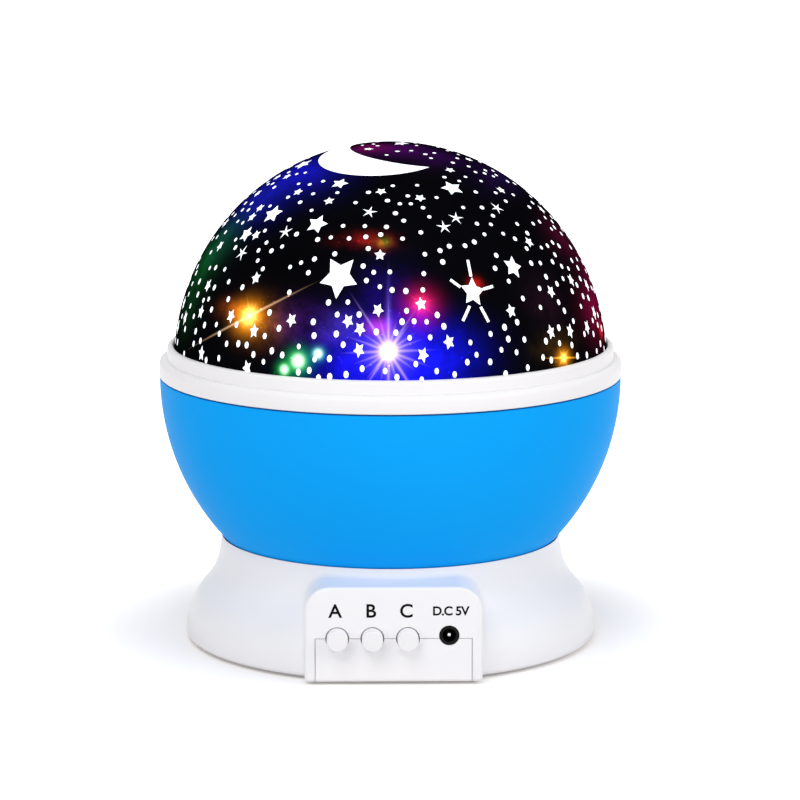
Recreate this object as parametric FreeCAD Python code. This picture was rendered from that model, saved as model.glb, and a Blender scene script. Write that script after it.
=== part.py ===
import FreeCAD, Part
import math
import os

from FreeCAD import Vector

# Star night light projector. Millimetres, +Z up, the button panel faces -Y.
# The origin is on the table, under the middle of the foot.

# Foot and housing, outside
feet_proud = 0.8
neck_radius = 46.0
foot_spread = 9.9
foot_radius = neck_radius + foot_spread
foot_edge_round = 1.4
heel_rise = 12.0
heel_radius = 18.0
flare_handle = 6.0
neck_lean = 0.1
rim_flat = 0.1
wall = 2.2

# Deck that closes the housing, with the spindle that the bowl turns on
deck_top_z = 20.6
deck_thickness = 2.0
spindle_radius = 9.0
spindle_bore = 5.0
shaft_hole_gap = 0.6

# Button panel on the front of the foot
panel_proud = 0.3
panel_front = foot_radius + panel_proud
panel_half_width = 23.1
panel_top_z = 26.0
panel_corner = 6.6
panel_foot_corner = 1.0
panel_edge_round = 0.9
panel_wall = 2.0
panel_root = neck_radius - 6.0
panel_blend = 1.6
tab_half_width = 20.25
tab_top_z = 12.4
tab_seam = 0.15

# Buttons, switches and the supply socket
button_xs = {"a": -14.6, "b": -5.5, "c": 3.7}
button_radius = 2.75
button_hole_radius = 3.08
button_stands_out = 3.3
button_edge_round = 0.4
button_flange_radius = 3.9
button_flange = 1.0
button_stem_radius = 1.6
button_travel = 0.5
button_back_gap = 0.1
jack_x = 14.4
jack_z = 13.2
jack_nose_radius = 2.5
jack_nose_gap = 0.15
jack_bore_radius = 1.8
jack_pin_radius = 0.65
jack_pin_length = 7.5
jack_floor = 0.6
jack_set_back = 0.1
jack_half_width = 4.4
jack_half_height = 3.2
panel_to_board = 10.0
board_front = panel_front - panel_to_board
board_thickness = 1.6
board_half_width = 19.5
board_corner = 4.0
board_low_z = 4.3
board_screw_x = 16.2
board_screw_z = 6.4
board_post_half = 2.6
board_post_depth = 3.4
board_post_floor = 0.6
switch_size = 6.0
switch_depth = 3.5
switch_well = 0.8
switch_play = 0.1
plunger_radius = 1.7
plunger_stands_out = 0.8

# Bottom cover, feet and screws
cover_thickness = 2.2
cover_gap = 0.2
foot_pad_radius = 4.5
foot_pad_thickness = 1.4
foot_pad_round = 0.35
foot_pad_play = 0.1
foot_pads = [(34.0, -30.0), (-34.0, -30.0), (30.0, 34.0), (-30.0, 34.0)]
case_screws = [(38.0, -14.0), (-38.0, -14.0), (20.0, 37.0), (-20.0, 37.0)]
case_boss_radius = 3.0
case_cup_radius = 4.2
case_cup_rise = 1.6
screw_shank = 1.3
screw_head = 2.5
screw_head_height = 1.6
screw_fit = 0.05
screw_sink = 0.2
screw_play = 0.2
screw_tip_gap = 1.0
case_screw_blind = 1.5
small_shank = 0.9
small_head = 1.7
small_head_height = 1.0
cross_width = 0.6
cross_share = 0.6

# Battery bay: four size AAA cells, side by side
cell_radius = 5.25
cell_length = 43.7
cell_nub_radius = 1.9
cell_nub = 0.8
cell_pitch = 11.0
cell_count = 4
bay_middle_y = -15.9
bay_wall = 1.5
bay_corner = 3.5
contact_thickness = 0.4
contact_width = 8.0
leaf_width = 4.0
leaf_gap = 0.1
leaf_half_span = 3.0
cell_round = 0.5
spring_reach = 4.0
door_thickness = 1.6
door_lap = 1.4
door_gap = 0.25
door_ear_radius = 4.5
door_ear_out = 3.4
door_boss_radius = 2.8
door_boss_rise = 2.6
door_screw_shank = 1.0
door_screw_head = 2.3
door_screw_head_height = 0.7
door_screw_sink = 0.1
grip_count = 4
grip_length = 16.0
grip_width = 1.1
grip_depth = 0.5
grip_pitch = 2.2
grip_inset = 3.0
clear = 0.3

# Joined solids run this far into each other, and cutting ones this far past a face
weld = 0.5
past = 1.0

# Turning drive: motor, gearbox, pinion and the ring gear under the bowl
gear_module = 0.8
ring_teeth = 60
pinion_teeth = 12
gear_face = 2.6
gear_backlash = 0.12
pressure_angle = math.radians(20.0)
ring_tooth_depth = 1.25
pinion_tooth_depth = 1.2
gear_rise = 0.5
ring_gear_wall = 2.0
shaft_radius = 2.0
shaft_flat = 0.5
shaft_in_box = 4.0
running_gap = 0.08
gearbox_half_width = 13.0
gearbox_front = 7.4
gearbox_back = 12.0
gearbox_height = 12.0
gearbox_ear = 4.2
gearbox_ear_half = 3.0
gearbox_ear_thickness = 2.0
gearbox_corner = 2.0
gearbox_screw_inset = 0.2
motor_radius = 7.7
motor_flat = 5.9
motor_length = 16.0
motor_offset = 2.0
motor_boss_radius = 3.0
motor_boss = 1.2
washer_thickness = 0.5
washer_play = 0.2
hub_radius = 12.6
hub_play = 0.2
hub_rise = 0.6
plate_gap = 0.3
plate_thickness = 2.0
plate_radius = 38.0
plate_screws = 3
plate_screws_turn = 30.0
plate_boss_ring = 33.0
plate_boss_radius = 2.8
plate_boss_drop = 2.2

# Bowl: half of a slightly tall ball, cut off flat below
bowl_overhang = 16.35
bowl_radius = neck_radius + bowl_overhang
bowl_tallness = 1.35
bowl_drop = bowl_radius + bowl_tallness
bowl_cut_off = 17.7
bowl_wall = 2.0
bowl_floor_thickness = 2.0
bowl_gap = 0.3

# White rim ring on the bowl and the dome ring that lifts off it
ring_lip = 0.15
ring_radius = bowl_radius + ring_lip
ring_height = 5.0
ring_edge_round = 1.4
ring_land = 3.6
ring_bore = ring_radius - ring_land
ring_root = 0.5
skirt_depth = 6.0
skirt_wall = 1.6
skirt_gap = 0.15
ledge_width = 2.4
ledge_thickness = 1.5
dome_ring_step = 2.2
dome_ring_radius = ring_radius - dome_ring_step
dome_ring_height = 3.7
dome_ring_round = 0.9
dome_ring_lift_gap = 0.3
spigot_depth = 4.0
spigot_wall = 3.0
dome_seat_rise = 1.0

# Dome: frosted shell under a black mask with windows
dome_ring_land = 1.74
dome_radius = dome_ring_radius - dome_ring_land
dome_tallness = 1.59
dome_rise = dome_radius + dome_tallness
dome_centre_rise = 2.78
mask_thickness = 0.8
mask_gap = 0.1
dome_wall = 1.5
dome_side_gap = 0.15

# Lamp post, lamp tray and light emitting diodes
post_tube_radius = 5.0
post_tube_bore = 3.6
post_spigot_gap = 0.1
post_spigot_depth = 5.0
post_collar = 2.0
post_collar_radius = 12.0
post_screws_count = 3
post_screws_turn = 90.0
post_screw_ring = 7.1
post_screw_head_height = 1.1
post_screw_play = 0.15
post_screw_grip = 5.0
lamp_board_drop = 14.0
lamp_disc_thickness = 1.6
lamp_board_radius = 14.0
lamp_board_thickness = 1.6
lamp_disc_radius = 15.0
led_radius = 2.5
led_flange = 2.9
led_flange_height = 1.0
led_height = 8.6
led_ring = 5.5
tray_hole_gap = 1.8
tray_thickness = 1.4
tray_rim_width = 3.0
tray_dish = 5.5
tray_collar = 2.5
lead_radius = 1.0
lead_bend = 6.5

# Windows in the mask: turn from the front, height above the dome's middle, both in
# degrees, then the star's radius and its spin. Then two discs that leave the moon.
stars = {
    "great_star": (-16.0, 31.8, 5.2, 180.0),
    "comet_star": (23.0, 28.0, 3.2, 12.0),
    "star_1": (-28.4, 46.4, 3.0, 10.0),
    "star_2": (-51.5, 48.0, 3.1, -12.0),
    "star_3": (-27.9, 61.0, 2.4, 8.0),
    "star_4": (30.7, 58.9, 3.2, -8.0),
    "star_5": (39.0, 32.9, 2.8, 20.0),
    "star_6": (-78.0, 66.5, 3.2, 0.0),
    "star_7": (100.0, 40.0, 2.7, 15.0),
    "star_8": (-58.3, 40.8, 2.3, 5.0),
    "star_9": (118.0, 58.0, 3.2, 30.0),
    "star_10": (150.0, 35.0, 4.6, 180.0),
    "star_11": (-160.0, 50.0, 3.2, 25.0),
    "star_12": (-115.0, 30.0, 3.2, -20.0),
    "star_13": (-136.0, 62.0, 3.0, 12.0),
}
star_waist = 0.5
star_depth = 3.0
moon_disc = (-2.5, -8.3, 16.7)
moon_bite = (5.7, -4.1, 16.35)

# The film is stretched upwards at the dome's foot and a little squeezed near its crown
stretch_at_foot = 1.5
stretch_loss = 0.0105

# Points along a quarter ellipse's curve
curve_points = 8

# Edges and faces this close count as touching
touch = 0.01


# Helpers: plain solids by their radii and heights

def cylinder(radius, low, high, x=0.0, y=0.0):
    return Part.makeCylinder(radius, high - low, Vector(x, y, low))


def rod(radius, front, back, x, z):
    # a rod along Y, from y=-front to y=-back
    return Part.makeCylinder(radius, front - back, Vector(x, -front, z), Vector(0, 1, 0))


def tube(outer, inner, low, high, x=0.0, y=0.0):
    return cylinder(outer, low, high, x, y).cut(cylinder(inner, low, high, x, y))


def block(x0, x1, y0, y1, z0, z1):
    return Part.makeBox(x1 - x0, y1 - y0, z1 - z0, Vector(x0, y0, z0))


def turned(edges):
    # the solid that a closed outline in the XZ plane sweeps about the Z axis
    wire = Part.Wire(Part.sortEdges(edges)[0])
    return Part.Face(wire).revolve(Vector(0, 0, 0), Vector(0, 0, 1), 360)


def lines(points):
    ends = [Vector(r, 0, z) for r, z in points]
    return [Part.LineSegment(a, b).toShape() for a, b in zip(ends, ends[1:])]


def turned_points(points):
    return turned(lines(points + points[:1]))


def ellipse_radius(across, up, middle, z):
    return across * math.sqrt(max(0.0, 1.0 - ((z - middle) / up) ** 2))


def ellipse_height(across, up, middle, r):
    return middle + up * math.sqrt(1.0 - (r / across) ** 2)


def ellipse_edge(across, up, middle, z0, z1):
    # a smooth curve on a quarter ellipse about the axis; up is negative below its middle
    t0 = math.asin((z0 - middle) / up)
    t1 = math.asin(max(-1.0, min(1.0, (z1 - middle) / up)))
    points = []
    for i in range(curve_points + 1):
        t = t0 + (t1 - t0) * i / curve_points
        on_axis = abs(math.cos(t)) < 1e-7
        points.append(Vector(0.0 if on_axis else across * math.cos(t), 0, middle + up * math.sin(t)))
    ends = [Vector(-across * math.sin(t), 0, up * math.cos(t)) for t in (t0, t1)]
    curve = Part.BSplineCurve()
    curve.interpolate(Points=points, InitialTangent=ends[0], FinalTangent=ends[1])
    return curve.toShape()


def ellipse_cap(across, up, middle, z_cut):
    # the solid inside an ellipse of revolution, from z_cut to its tip
    tip = middle + up
    r_cut = ellipse_radius(across, up, middle, z_cut)
    edges = [ellipse_edge(across, up, middle, z_cut, tip)]
    edges += lines([(0, tip), (0, z_cut), (r_cut, z_cut)])
    return turned(edges)


def around(count, radius, start=0.0):
    places = []
    for i in range(count):
        a = math.radians(start + 360.0 * i / count)
        places.append((radius * math.cos(a), radius * math.sin(a)))
    return places


def union(shapes):
    first, rest = shapes[0], shapes[1:]
    return first.multiFuse(rest).removeSplitter() if rest else first


# Places that several pieces share

foot_z = feet_proud
cover_top_z = foot_z + cover_thickness
deck_low_z = deck_top_z - deck_thickness
gear_low_z = deck_top_z + gear_rise
plate_z = gear_low_z + gear_face + plate_gap
floor_z = plate_z + plate_thickness
floor_top_z = floor_z + bowl_floor_thickness
hub_low_z = deck_top_z + washer_thickness
hub_top_z = floor_top_z + hub_rise
spindle_top_z = hub_top_z + clear
seam_z = floor_z + bowl_drop - bowl_cut_off
dome_centre_z = seam_z + dome_centre_rise
lamp_board_z = seam_z - lamp_board_drop
ring_pitch_radius = gear_module * ring_teeth / 2
pinion_pitch_radius = gear_module * pinion_teeth / 2
pinion_y = ring_pitch_radius - pinion_pitch_radius
ring_top_z = seam_z + ring_height
dome_ring_top_z = ring_top_z + dome_ring_height
dome_seat_z = ring_top_z + dome_seat_rise
rim_z = ellipse_height(bowl_radius + bowl_gap, -(bowl_drop + bowl_gap), seam_z,
                       neck_radius - rim_flat)
board_back = board_front - board_thickness
board_high_z = deck_low_z - clear
panel_inside = panel_front - panel_wall
bay_half_x = (cell_length + cell_nub + spring_reach + 2 * contact_thickness) / 2
bay_half_y = cell_pitch * cell_count / 2 + cell_round
bay_low_y = bay_middle_y - bay_half_y
bay_high_y = bay_middle_y + bay_half_y
door_top_z = foot_z + door_thickness
cell_z = door_top_z + clear + cell_radius
bay_roof_z = cell_z + cell_radius + clear
bay_top_z = bay_roof_z + bay_wall
skirt_low_z = seam_z - skirt_depth
skirt_radius = ellipse_radius(bowl_radius, -bowl_drop, seam_z, skirt_low_z) - bowl_wall - skirt_gap
skirt_bore = skirt_radius - skirt_wall
tray_z = skirt_low_z + ledge_thickness
tray_radius = skirt_bore - clear
door_ear_y = bay_high_y + door_lap + door_ear_out


# Housing

def foot_outline(inset):
    # the foot's side from its edge to the rim, moved inwards by inset
    edge_top = foot_z + foot_edge_round
    toe = foot_radius - inset
    low = toe - foot_edge_round
    swing = foot_edge_round * math.sqrt(0.5)
    edges = [Part.Arc(Vector(low, 0, foot_z), Vector(low + swing, 0, edge_top - swing),
                      Vector(toe, 0, edge_top)).toShape()]
    drop = heel_radius - math.sqrt(heel_radius ** 2 - heel_rise ** 2)
    half = heel_rise / 2
    half_drop = heel_radius - math.sqrt(heel_radius ** 2 - half ** 2)
    heel_end = Vector(toe - drop, 0, edge_top + heel_rise)
    edges.append(Part.Arc(Vector(toe, 0, edge_top), Vector(toe - half_drop, 0, edge_top + half),
                          heel_end).toShape())
    lean = heel_rise / heel_radius
    flare = Vector(-lean, 0, math.sqrt(1.0 - lean ** 2)) * flare_handle
    neck_end = Vector(neck_radius - inset, 0, rim_z)
    neck = Vector(neck_lean, 0, -1.0) * flare_handle
    curve = Part.BezierCurve()
    curve.setPoles([heel_end, heel_end + flare, neck_end + neck, neck_end])
    edges.append(curve.toShape())
    return edges, low


def foot_solid(inset):
    edges, low = foot_outline(inset)
    edges += lines([(neck_radius - inset, rim_z), (0, rim_z), (0, foot_z), (low, foot_z)])
    return turned(edges)


def panel_outline(inset, low, high):
    # rounded at the top, nearly square at the bottom, in the plane y=0
    w = panel_half_width - inset
    big = max(panel_corner - inset, 0.4)
    small = max(panel_foot_corner - inset, 0.2)
    k = math.sqrt(0.5)
    corners = [(w - small, low + small, small, k, -k), (w - big, high - big, big, k, k)]
    edges = []
    for side in (1, -1):
        x, z, r, kx, kz = corners[0]
        edges.append(Part.Arc(Vector(side * x, 0, low), Vector(side * (x + r * kx), 0, z + r * kz),
                              Vector(side * w, 0, z)).toShape())
        edges.append(Part.LineSegment(Vector(side * w, 0, z),
                                      Vector(side * w, 0, high - big)).toShape())
        x, z, r, kx, kz = corners[1]
        edges.append(Part.Arc(Vector(side * w, 0, z), Vector(side * (x + r * kx), 0, z + r * kz),
                              Vector(side * x, 0, high)).toShape())
    edges.append(Part.LineSegment(Vector(w - small, 0, low), Vector(small - w, 0, low)).toShape())
    edges.append(Part.LineSegment(Vector(w - big, 0, high), Vector(big - w, 0, high)).toShape())
    return Part.Wire(Part.sortEdges(edges)[0])


def panel_block():
    face = Part.Face(panel_outline(0.0, foot_z, panel_top_z))
    face.translate(Vector(0, -panel_front, 0))
    solid = face.extrude(Vector(0, panel_front - panel_root, 0))
    front = [e for e in solid.Edges if e.BoundBox.YMax < -panel_front + touch]
    return solid.makeFillet(panel_edge_round, front)


def blended(body):
    # the soft hollow where the panel's sides and top run into the foot
    picked = []
    for e in body.Edges:
        box = e.BoundBox
        over_tab = box.ZMin > tab_top_z and box.ZMax < panel_top_z + touch
        within = box.XMax < panel_half_width + touch and box.XMin > -panel_half_width - touch
        behind = box.YMin > -panel_front + panel_edge_round + touch and box.YMax < -neck_radius / 2
        if over_tab and within and behind:
            picked.append(e)
    return body.makeFillet(panel_blend, picked)


def panel_holes():
    # the round holes that the seam between housing and cover runs through
    front, back = panel_front + past, panel_inside - past
    holes = [rod(button_hole_radius, front, back, x, tab_top_z) for x in button_xs.values()]
    return holes + [rod(jack_nose_radius + jack_nose_gap, front, back, jack_x, jack_z)]


def base_housing():
    body = foot_solid(0.0).fuse(panel_block()).removeSplitter()
    body = blended(body)
    under_deck = foot_solid(wall).common(cylinder(foot_radius, 0, deck_low_z))
    body = body.cut(under_deck)
    body = body.cut(cylinder(foot_radius - wall - foot_edge_round, 0, cover_top_z))
    pocket_face = Part.Face(panel_outline(panel_wall, 0.0, deck_low_z))
    pocket_face.translate(Vector(0, -panel_inside, 0))
    body = body.cut(pocket_face.extrude(Vector(0, panel_inside - panel_root, 0)))
    body = body.cut(cylinder(neck_radius - wall, deck_top_z, rim_z + past))
    nest = ellipse_cap(bowl_radius + bowl_gap, -(bowl_drop + bowl_gap), seam_z, rim_z + past)
    body = body.cut(nest.cut(cylinder(bowl_radius, 0, floor_z - bowl_gap)))
    posts = [cylinder(case_boss_radius, cover_top_z + case_cup_rise, deck_low_z + weld, x, y)
             for x, y in case_screws]
    for side in (-1, 1):
        x = side * board_screw_x
        posts.append(block(x - board_post_half, x + board_post_half, -board_back,
                           -board_back + board_post_depth, board_low_z, deck_low_z + weld))
    posts.append(cylinder(spindle_radius, deck_top_z - weld, spindle_top_z))
    body = union([body] + posts)
    holes = [cylinder(spindle_bore, 0, spindle_top_z + past)]
    holes += [cylinder(screw_shank + screw_fit, cover_top_z, deck_low_z - case_screw_blind, x, y)
              for x, y in case_screws]
    holes += [cylinder(small_shank + screw_fit, spindle_top_z - post_screw_grip - screw_tip_gap,
                       spindle_top_z + past, x, y) for x, y in post_screw_places()]
    holes.append(cylinder(shaft_radius + shaft_hole_gap, 0, deck_top_z + past, 0, pinion_y))
    holes += [cylinder(small_shank + screw_fit, deck_low_z - past, gearbox_screw_top() + touch, x, pinion_y)
              for x in gearbox_screw_xs()]
    holes += [rod(small_shank + screw_fit, board_back + past, board_back - board_hole_depth(),
                  side * board_screw_x, board_screw_z) for side in (-1, 1)]
    half = tab_half_width + tab_seam
    holes.append(block(-half, half, -panel_front - past, -panel_inside + touch, 0,
                       tab_top_z + tab_seam / 2))
    holes.append(block(-half, half, -panel_inside, -board_front, 0, cover_top_z))
    for hole in holes + panel_holes():
        body = body.cut(hole)
    return body


# Bottom cover with the battery bay and the panel's lower half

def battery_bay():
    outside = block(-bay_half_x - bay_wall, bay_half_x + bay_wall, bay_low_y - bay_wall,
                    bay_high_y + bay_wall, foot_z, bay_top_z)
    upright = [e for e in outside.Edges if e.BoundBox.ZLength > bay_top_z - foot_z - 0.01]
    outside = outside.makeFillet(bay_corner, upright)
    inside = block(-bay_half_x, bay_half_x, bay_low_y, bay_high_y, foot_z - 1, bay_roof_z)
    return outside, inside


def door_plan(gap):
    # the door's outline as a solid; gap makes the pocket a little larger than the door
    x = bay_half_x + door_lap + gap
    plate = block(-x, x, bay_low_y - door_lap - gap, bay_high_y + door_lap + gap, foot_z, door_top_z)
    ear = cylinder(door_ear_radius + gap, foot_z, door_top_z, 0, door_ear_y)
    return plate.fuse(ear).removeSplitter()


def bottom_cover():
    radius = foot_radius - wall - foot_edge_round - cover_gap
    plate = cylinder(radius, foot_z, cover_top_z)
    tongue = block(-tab_half_width, tab_half_width, -panel_front, -board_front, foot_z, cover_top_z)
    tab = block(-tab_half_width, tab_half_width, -panel_front, -panel_inside, foot_z,
                tab_top_z - tab_seam / 2)
    low_edge = [e for e in tab.Edges if e.BoundBox.ZMax < foot_z + touch
                and e.BoundBox.YMax < -panel_front + touch]
    tab = tab.makeFillet(panel_edge_round, low_edge)
    tongue = tongue.cut(block(-tab_half_width, tab_half_width, -panel_front - past, -panel_inside, 0,
                              cover_top_z + past))
    bay, bay_inside = battery_bay()
    cups = [cylinder(case_cup_radius, foot_z, cover_top_z + case_cup_rise, x, y) for x, y in case_screws]
    ear_boss = cylinder(door_boss_radius, foot_z, cover_top_z + door_boss_rise, 0, door_ear_y)
    body = union([plate, tongue, tab, bay, ear_boss] + cups)
    cuts = [bay_inside, door_plan(door_gap)]
    head_top = cover_top_z + screw_sink
    for x, y in case_screws:
        cuts.append(cylinder(screw_head + clear, 0, head_top, x, y))
        cuts.append(cylinder(screw_shank + screw_play, 0, cover_top_z + case_cup_rise + past, x, y))
    cuts += [cylinder(foot_pad_radius + foot_pad_play, 0, foot_pad_thickness, x, y)
             for x, y in foot_pads]
    cuts.append(cylinder(door_screw_shank + screw_fit, 0, cover_top_z + door_boss_rise - screw_tip_gap,
                         0, door_ear_y))
    for shape in cuts + panel_holes():
        body = body.cut(shape)
    return body


def battery_door():
    door = door_plan(0.0)
    door = door.cut(cylinder(door_screw_shank + clear, 0, door_top_z + past, 0, door_ear_y))
    door = door.cut(cylinder(door_screw_head + screw_play, 0,
                             foot_z + door_screw_sink + door_screw_head_height, 0, door_ear_y))
    for i in range(grip_count):
        y = bay_low_y + grip_inset + grip_pitch * i
        door = door.cut(block(-grip_length / 2, grip_length / 2, y, y + grip_width, 0,
                              foot_z + grip_depth))
    return door


def screw_up(x, y, head_low, head_radius, head_height, shank_radius, tip_z):
    # a pan head screw driven upwards, with a cross recess in its head
    head_top = head_low + head_height
    head = cylinder(head_radius, head_low, head_top, x, y)
    shank = cylinder(shank_radius, head_top - touch, tip_z, x, y)
    arm, half = head_radius * cross_share, cross_width / 2
    low, high = head_low - past, head_low + head_height / 2
    cross = [block(x - arm, x + arm, y - half, y + half, low, high),
             block(x - half, x + half, y - arm, y + arm, low, high)]
    return union([head, shank]).cut(cross[0]).cut(cross[1])


def housing_screws():
    head_low = cover_top_z + screw_sink - screw_head_height
    tip_z = deck_low_z - case_screw_blind - screw_tip_gap
    return [screw_up(x, y, head_low, screw_head, screw_head_height, screw_shank, tip_z)
            for x, y in case_screws]


def battery_door_screw():
    tip_z = cover_top_z + door_boss_rise - screw_tip_gap - screw_sink
    return [screw_up(0, door_ear_y, foot_z + door_screw_sink, door_screw_head, door_screw_head_height,
                     door_screw_shank, tip_z)]


def rubber_feet():
    feet = []
    for x, y in foot_pads:
        pad = cylinder(foot_pad_radius, 0, foot_pad_thickness, x, y)
        rim = [e for e in pad.Edges if e.BoundBox.ZMax < touch]
        feet.append(pad.makeFillet(foot_pad_round, rim))
    return feet


# Cells and contacts

def cell_rows():
    first = bay_middle_y - cell_pitch * (cell_count - 1) / 2
    return [(first + cell_pitch * i, 1 if i % 2 == 0 else -1) for i in range(cell_count)]


def aaa_cells():
    cells = []
    for y, way in cell_rows():
        nub_end = way * (bay_half_x - contact_thickness)
        base = nub_end - way * cell_nub
        axis = Vector(-way, 0, 0)
        body = Part.makeCylinder(cell_radius, cell_length, Vector(base, y, cell_z), axis)
        body = body.makeFillet(cell_round, [e for e in body.Edges if len(e.Vertexes) == 1])
        nub = Part.makeCylinder(cell_nub_radius, cell_nub + weld, Vector(nub_end, y, cell_z), axis)
        cells.append(body.fuse(nub).removeSplitter())
    return cells


def battery_contacts():
    contacts = []
    half = contact_width / 2
    for y, way in cell_rows():
        for side in (1, -1):
            wall_x = side * bay_half_x
            inner = side * (bay_half_x - contact_thickness)
            plate = block(min(wall_x, inner), max(wall_x, inner), y - half, y + half, cell_z - half,
                          cell_z + half)
            if side == way:
                contacts.append(plate)
                continue
            reach = side * (bay_half_x - contact_thickness - spring_reach + leaf_gap)
            points = [Vector(inner, y - leaf_half_span, 0), Vector(reach, y, 0),
                      Vector(inner, y + leaf_half_span, 0)]
            back = [Vector(p.x + side * contact_thickness, p.y, 0) for p in points]
            outline = [Part.Arc(*points).toShape(), Part.Arc(*back).toShape(),
                       Part.LineSegment(points[0], back[0]).toShape(),
                       Part.LineSegment(points[2], back[2]).toShape()]
            leaf = Part.Face(Part.Wire(Part.sortEdges(outline)[0]))
            leaf.translate(Vector(0, 0, cell_z - leaf_width / 2))
            contacts.append(plate.fuse(leaf.extrude(Vector(0, 0, leaf_width))).removeSplitter())
    return contacts


# Buttons, switches, socket and control board

def button_cap(x):
    z = tab_top_z
    back = panel_inside - button_back_gap
    cap = rod(button_radius, panel_front + button_stands_out, back - weld, x, z)
    front = [e for e in cap.Edges if e.BoundBox.YMax < -panel_front - button_stands_out + touch]
    cap = cap.makeFillet(button_edge_round, front)
    flange = rod(button_flange_radius, back, back - button_flange, x, z)
    stem = rod(button_stem_radius, back - button_flange + weld, plunger_tip(), x, z)
    return union([cap, flange, stem])


def plunger_tip():
    return board_front + switch_depth + plunger_stands_out


def switch_plunger(x):
    return rod(plunger_radius, plunger_tip(), board_front + switch_depth - switch_well, x, tab_top_z)


def tact_switches():
    cases = []
    half = switch_size / 2
    for x in button_xs.values():
        case = block(x - half, x + half, -board_front - switch_depth, -board_front, tab_top_z - half,
                     tab_top_z + half)
        well_floor = board_front + switch_depth - switch_well - button_travel - 2 * switch_play
        well = rod(plunger_radius + switch_play, board_front + switch_depth + past, well_floor, x,
                   tab_top_z)
        cases.append(case.cut(well))
    return cases


def dc_jack():
    body_front = panel_inside - clear
    body = block(jack_x - jack_half_width, jack_x + jack_half_width, -body_front, -board_front,
                 jack_z - jack_half_height, jack_z + jack_half_height)
    nose_front = panel_front - jack_set_back
    nose = rod(jack_nose_radius, nose_front, body_front - weld, jack_x, jack_z)
    body = union([body, nose])
    bore_end = nose_front - jack_pin_length - jack_floor
    body = body.cut(rod(jack_bore_radius, panel_front + past, bore_end, jack_x, jack_z))
    pin = rod(jack_pin_radius, bore_end + jack_pin_length, bore_end - weld, jack_x, jack_z)
    return union([body, pin])


def control_board():
    board = block(-board_half_width, board_half_width, -board_front, -board_back, board_low_z,
                  board_high_z)
    upper = [e for e in board.Edges if e.BoundBox.ZMin > board_high_z - touch
             and e.BoundBox.XLength < touch]
    board = board.makeFillet(board_corner, upper)
    for side in (-1, 1):
        board = board.cut(rod(small_shank + screw_play, board_front + past, board_back - past,
                              side * board_screw_x, board_screw_z))
    return board


def board_screws():
    screws = []
    for side in (-1, 1):
        x = side * board_screw_x
        head = rod(small_head, board_front + small_head_height, board_front, x, board_screw_z)
        shank = rod(small_shank, board_front + touch, board_back - board_hole_depth() + screw_sink, x,
                    board_screw_z)
        screws.append(union([head, shank]))
    return screws


def board_hole_depth():
    return board_post_depth - board_post_floor


# Turning drive

def involute_point(base, radius, turn, hand):
    # a point of the tooth's flank at the given radius; turn places the flank's foot
    t = math.sqrt(max((radius / base) ** 2 - 1.0, 0.0))
    angle = turn + hand * (t - math.atan(t))
    return radius * math.cos(angle), radius * math.sin(angle)


def gear_outline(teeth, low, high, thinner):
    # one closed outline: between low and high radius, teeth about the pitch circle
    pitch = gear_module * teeth / 2
    base = pitch * math.cos(pressure_angle)
    t = math.tan(pressure_angle)
    half = math.pi / (2 * teeth) + t - math.atan(t) - thinner / (2 * pitch)
    radii = [max(base, low), (max(base, low) + high) / 2, high]
    points = []
    for i in range(teeth):
        middle = 2 * math.pi * i / teeth + math.pi / 2
        flank = [involute_point(base, r, -half, 1) for r in radii]
        if low < base:
            flank.insert(0, (low * math.cos(half), -low * math.sin(half)))
        other = [(x, -y) for x, y in reversed(flank)]
        for x, y in flank + other:
            c, s = math.cos(middle), math.sin(middle)
            points.append((x * c - y * s, x * s + y * c))
    return points


def plate_screw_places():
    return around(plate_screws, plate_boss_ring, plate_screws_turn)


def prism(points, low, high):
    corners = [Vector(x, y, low) for x, y in points]
    face = Part.Face(Part.makePolygon(corners + corners[:1]))
    return face.extrude(Vector(0, 0, high - low))


def turntable():
    # the ring's tooth spaces are the outline of an outer gear of the same pitch
    tip = ring_pitch_radius - gear_module
    root = ring_pitch_radius + ring_tooth_depth * gear_module
    rim = root + ring_gear_wall
    spaces = prism(gear_outline(ring_teeth, tip, root, -gear_backlash), gear_low_z - past, plate_z)
    ring = cylinder(rim, gear_low_z, plate_z + weld).cut(spaces)
    ring = ring.cut(cylinder(tip, gear_low_z - past, plate_z))
    plate = cylinder(plate_radius, plate_z, floor_z)
    hub = cylinder(hub_radius, hub_low_z, hub_top_z)
    bosses = [cylinder(plate_boss_radius, plate_z - plate_boss_drop, plate_z + weld, x, y)
              for x, y in plate_screw_places()]
    body = union([plate, ring, hub] + bosses)
    body = body.cut(cylinder(spindle_radius + running_gap, hub_low_z - past, hub_top_z + past))
    for x, y in plate_screw_places():
        body = body.cut(cylinder(screw_shank + screw_fit, 0, floor_z + past, x, y))
    return body


def drive_pinion():
    root = pinion_pitch_radius - pinion_tooth_depth * gear_module
    tip = pinion_pitch_radius + gear_module
    gear = prism(gear_outline(pinion_teeth, root, tip, gear_backlash), gear_low_z,
                 gear_low_z + gear_face)
    gear.translate(Vector(0, pinion_y, 0))
    return gear.cut(drive_shaft_bar(gear_low_z - past, gear_low_z + gear_face + past))


def drive_shaft_bar(low, high):
    bar = cylinder(shaft_radius, low, high, 0, pinion_y)
    edge = pinion_y + shaft_radius - shaft_flat
    flat = block(-shaft_radius, shaft_radius, edge, edge + shaft_radius, max(low, deck_top_z), high)
    return bar.cut(flat)


def drive_shaft():
    return drive_shaft_bar(deck_low_z - shaft_in_box, gear_low_z + gear_face)


def gearbox_screw_xs():
    out = gearbox_half_width + gearbox_ear / 2 - gearbox_screw_inset
    return [-out, out]


def gearbox_screw_top():
    return deck_top_z - weld


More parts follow.
